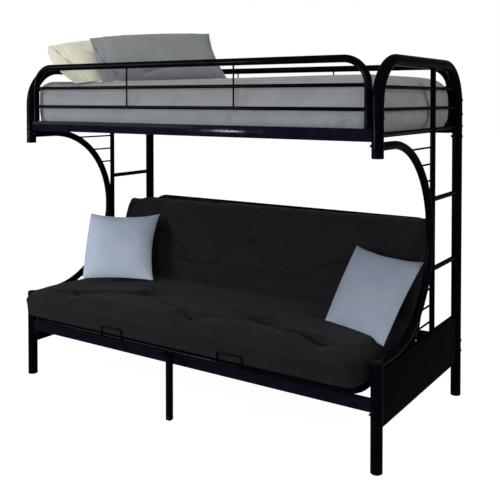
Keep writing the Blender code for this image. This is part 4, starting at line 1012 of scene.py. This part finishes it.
# Each throw pillow has its size, cloth, the draw of its four sides, and its four corners' places
throws = {
    "left": ((0.384, 0.430), slate_canvas, (-0.02, 0.125, 0.05, 0.135),
             [(-0.975, -0.014, 0.807), (-0.660, 0.224, 0.799),
              (-0.490, -0.034, 0.486), (-0.783, -0.268, 0.505)]),
    "right": ((0.360, 0.440), shaded_canvas, (-0.03, 0.05, 0.05, 0.11),
              [(0.618, 0.184, 0.758), (0.965, 0.160, 0.722),
               (0.962, -0.288, 0.456), (0.625, -0.157, 0.478)]),
}
throw_thickness = 0.096
for side, (size, cloth_kind, draw_in, corners) in throws.items():
    throw, filled, shares = sewn_pillow(size, throw_thickness, (60, 66), draw_in, 0.0034, (2.9, 2.9))
    move_points(throw, set_on_corners(filled, corners, (0, -1, 0.3)))
    rest_clear(throw, [futon])
    cover_map(throw, shares * np.array([size[0] / 2, size[1] / 2, 0.01]), shares)
    finish_cushion(throw, side + "_throw_cushion", cloth_kind)
    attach(throw, "seat")
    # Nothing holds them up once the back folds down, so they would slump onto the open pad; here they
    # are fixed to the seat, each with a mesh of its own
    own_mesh(throw)
    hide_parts(side + "_throw_pillow")

# Each bed pillow has its folds, as lines over its face in metres: the hem's edge and a few wrinkles
cream_folds = [
    ((-0.322, 0.168), (-0.312, 0.040), 0.004, 0.006), ((-0.314, 0.050), (-0.285, -0.120), 0.004, 0.006),
    ((-0.240, 0.120), (-0.150, 0.070), 0.0015, 0.008), ((-0.200, 0.020), (-0.140, -0.060), 0.0015, 0.008),
]
grey_folds = [
    ((-0.338, 0.140), (-0.325, 0.020), 0.004, 0.006), ((-0.328, 0.035), (-0.300, -0.080), 0.004, 0.006),
    ((-0.285, -0.075), (-0.265, -0.150), 0.005, 0.006), ((-0.150, 0.020), (-0.135, -0.050), 0.001, 0.008),
    ((0.335, 0.120), (0.300, 0.040), 0.003, 0.008), ((0.060, -0.110), (-0.140, -0.145), 0.003, 0.010),
]
# Their sizes, tucks, centres and angles, their cloth, the draw of the left and top sides, the folds
sleepers = (
    ("cream", (0.660, 0.367), 0.045, (-0.732, -0.047, 1.701), (55.9, 58.5, 12.2), cream_percale,
     (-0.12, -0.06), cream_folds),
    ("grey", (0.690, 0.289), 0.060, (-0.482, 0.004, 1.705), (55, 40.2, 5.1), grey_percale,
     (0.02, -0.11), grey_folds),
)
case_thickness = 0.108
hem_place = -0.80
ear = 0.05
below = [bed] + [bpy.data.objects[name] for name in ("left_hoop_tube", "left_end_bar_top",
                                                     "left_end_bar_middle")]
for tone, size, tuck, centre, angles, cloth_kind, (left_draw, top_draw), lines in sleepers:
    pillow, filled, shares = sewn_pillow(size, case_thickness, (84, 46), (left_draw, 0.06, 0.0, top_draw),
                                         0.004, (3.4, 1.7), hem_place)
    # The lower edge is pushed down until it is pressed against the bed
    pressed = filled[:, 1] * (1 + 2 * tuck / size[1])
    filled[:, 1] = np.where(filled[:, 1] < 0, pressed, filled[:, 1])
    # The corner at the top of the closed end stands up in a small ear
    filled[:, 1] += ear * np.clip(filled[:, 0], 0, 1) ** 14 * np.clip(filled[:, 1], 0, 1) ** 3
    ways = turned_by(*angles)
    move_points(pillow, (filled * np.array([size[0] / 2, size[1] / 2, 1])) @ ways.T + np.array(centre))
    rest_clear(pillow, below)
    cover_map(pillow, shares * np.array([size[0] / 2, size[1] / 2, 0.01]), shares)
    finish_cushion(pillow, tone + "_pillow_in_case", cloth_kind, 2)
    on_face = (points_of(pillow) - np.array(centre)) @ ways
    # The pillow's folds and hem line get painted shade, at 0.7 of the shadow tone
    crease(pillow, on_face[:, 0], on_face[:, 1], lines, ways[:, 2], 0.7)
    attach(pillow, "bunk_frame")
    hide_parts(tone + "_bed_pillow")
    below.append(pillow)

# Camera at the photograph's place. The lens is shifted down, as the photograph's frame was.
camera = bpy.data.cameras.new("camera")
camera.lens = 54.746
camera.sensor_width = 36
camera.shift_y = -0.2664
viewer = bpy.data.objects.new("camera", camera)
bpy.context.scene.collection.objects.link(viewer)
viewer.location = (2.2089, -3.1662, 1.4708)
viewer.rotation_euler = (math.radians(90 - 1.371), 0, math.radians(33.446))
bpy.context.scene.camera = viewer

# Floor and light: a plain pale floor under an even white studio. Soft boxes stand at the left and
# overhead, with two weak fills at the right and behind the camera. Only the left box and a small
# lamp show in the paint, so that the frame stays as black as it is.
clear_selection()
bpy.ops.mesh.primitive_plane_add(size=60, location=(0, 0, -0.0008))
bpy.ops.object.transform_apply(location=True, rotation=True, scale=True)
floor = bpy.context.object
floor.name = "studio_floor"
floor_paint = new_material("matt_floor_paint", {"Roughness": 0.9, "Specular IOR Level": 0.1,
                                                "Emission Color": (1, 1, 1, 1)})
place = add_node(floor_paint, "TexCoord").outputs["Object"]
mottle = add_node(floor_paint, "TexNoise", {"Vector": place, "Scale": 3, "Detail": 3})
floor_tint = add_node(floor_paint, "ValToRGB", {"Fac": mottle.outputs["Fac"]},
                      ((0, "#6C6C6C"), (1, "#747474")))
drive(floor_paint, base=floor_tint.outputs["Color"])
# The floor glows for the camera alone, so that it is as pale as the wall behind it
floor_ray = add_node(floor_paint, "LightPath")
glow = add_node(floor_paint, "MapRange", {"Value": floor_ray.outputs["Is Camera Ray"], "To Min": 0.12,
                                          "To Max": 0.94})
floor_shader = floor_paint.node_tree.nodes["Principled BSDF"]
floor_paint.node_tree.links.new(glow.outputs["Result"], floor_shader.inputs["Emission Strength"])
floor.data.materials.append(floor_paint)

world = bpy.data.worlds.new("studio")
bpy.context.scene.world = world
world.use_nodes = True
# The camera sees a white wall. Cooler and dimmer light falls on the bed, and gloss reflects least
ray = add_node(world, "LightPath")
tint = add_node(world, "Mix", {"Factor": ray.outputs["Is Camera Ray"], 6: (0.92, 0.95, 1.0, 1),
                               7: (1, 1, 1, 1)}, data_type="RGBA")
strength = add_node(world, "MapRange", {"Value": ray.outputs["Is Camera Ray"], "To Min": 0.58,
                                        "To Max": 1.0})
share = add_node(world, "MapRange", {"Value": ray.outputs["Is Glossy Ray"], "To Min": 1.0,
                                     "To Max": 0.20})
power = add_node(world, "Math", {0: strength.outputs["Result"], 1: share.outputs["Result"]},
                 operation="MULTIPLY")
background = world.node_tree.nodes["Background"]
world.node_tree.links.new(tint.outputs[2], background.inputs["Color"])
world.node_tree.links.new(power.outputs["Value"], background.inputs["Strength"])
bpy.context.scene.view_settings.view_transform = "Standard"


def soft_box(name, place, target, size, power, tone, seen_in_gloss=True):
    """A square area light that faces a point."""
    lamp = bpy.data.lights.new(name, "AREA")
    lamp.size = size
    lamp.energy = power
    lamp.color = tone
    holder = bpy.data.objects.new(name, lamp)
    bpy.context.scene.collection.objects.link(holder)
    holder.location = place
    holder.rotation_euler = (Vector(target) - Vector(place)).to_track_quat("-Z", "Y").to_euler()
    holder.visible_glossy = seen_in_gloss
    return holder


soft_box("left_soft_box", (-3.8, -4.0, 2.3), (0, 0, 0.9), 1.8, 132, (0.90, 0.94, 1.0))
soft_box("top_soft_box", (0.0, -1.6, 4.4), (0, 0, 0.9), 3.0, 64, (1.0, 0.87, 0.60), False)
soft_box("right_fill", (4.2, -0.6, 2.0), (0, 0, 1.2), 1.6, 45, (1.0, 0.97, 0.92), False)
soft_box("front_fill", (1.2, -5.4, 1.6), (0, 0, 0.8), 2.4, 110, (0.92, 0.94, 1.0), False)
# A small lamp that only gloss shows, as a bright glint on the rail and thin streaks along the tubes
glint = soft_box("glint_lamp", (-2.41, -4.26, 1.16), (0.2, -0.4, 1.3), 0.10, 60, (1.0, 1.0, 1.0))
glint.visible_diffuse = False
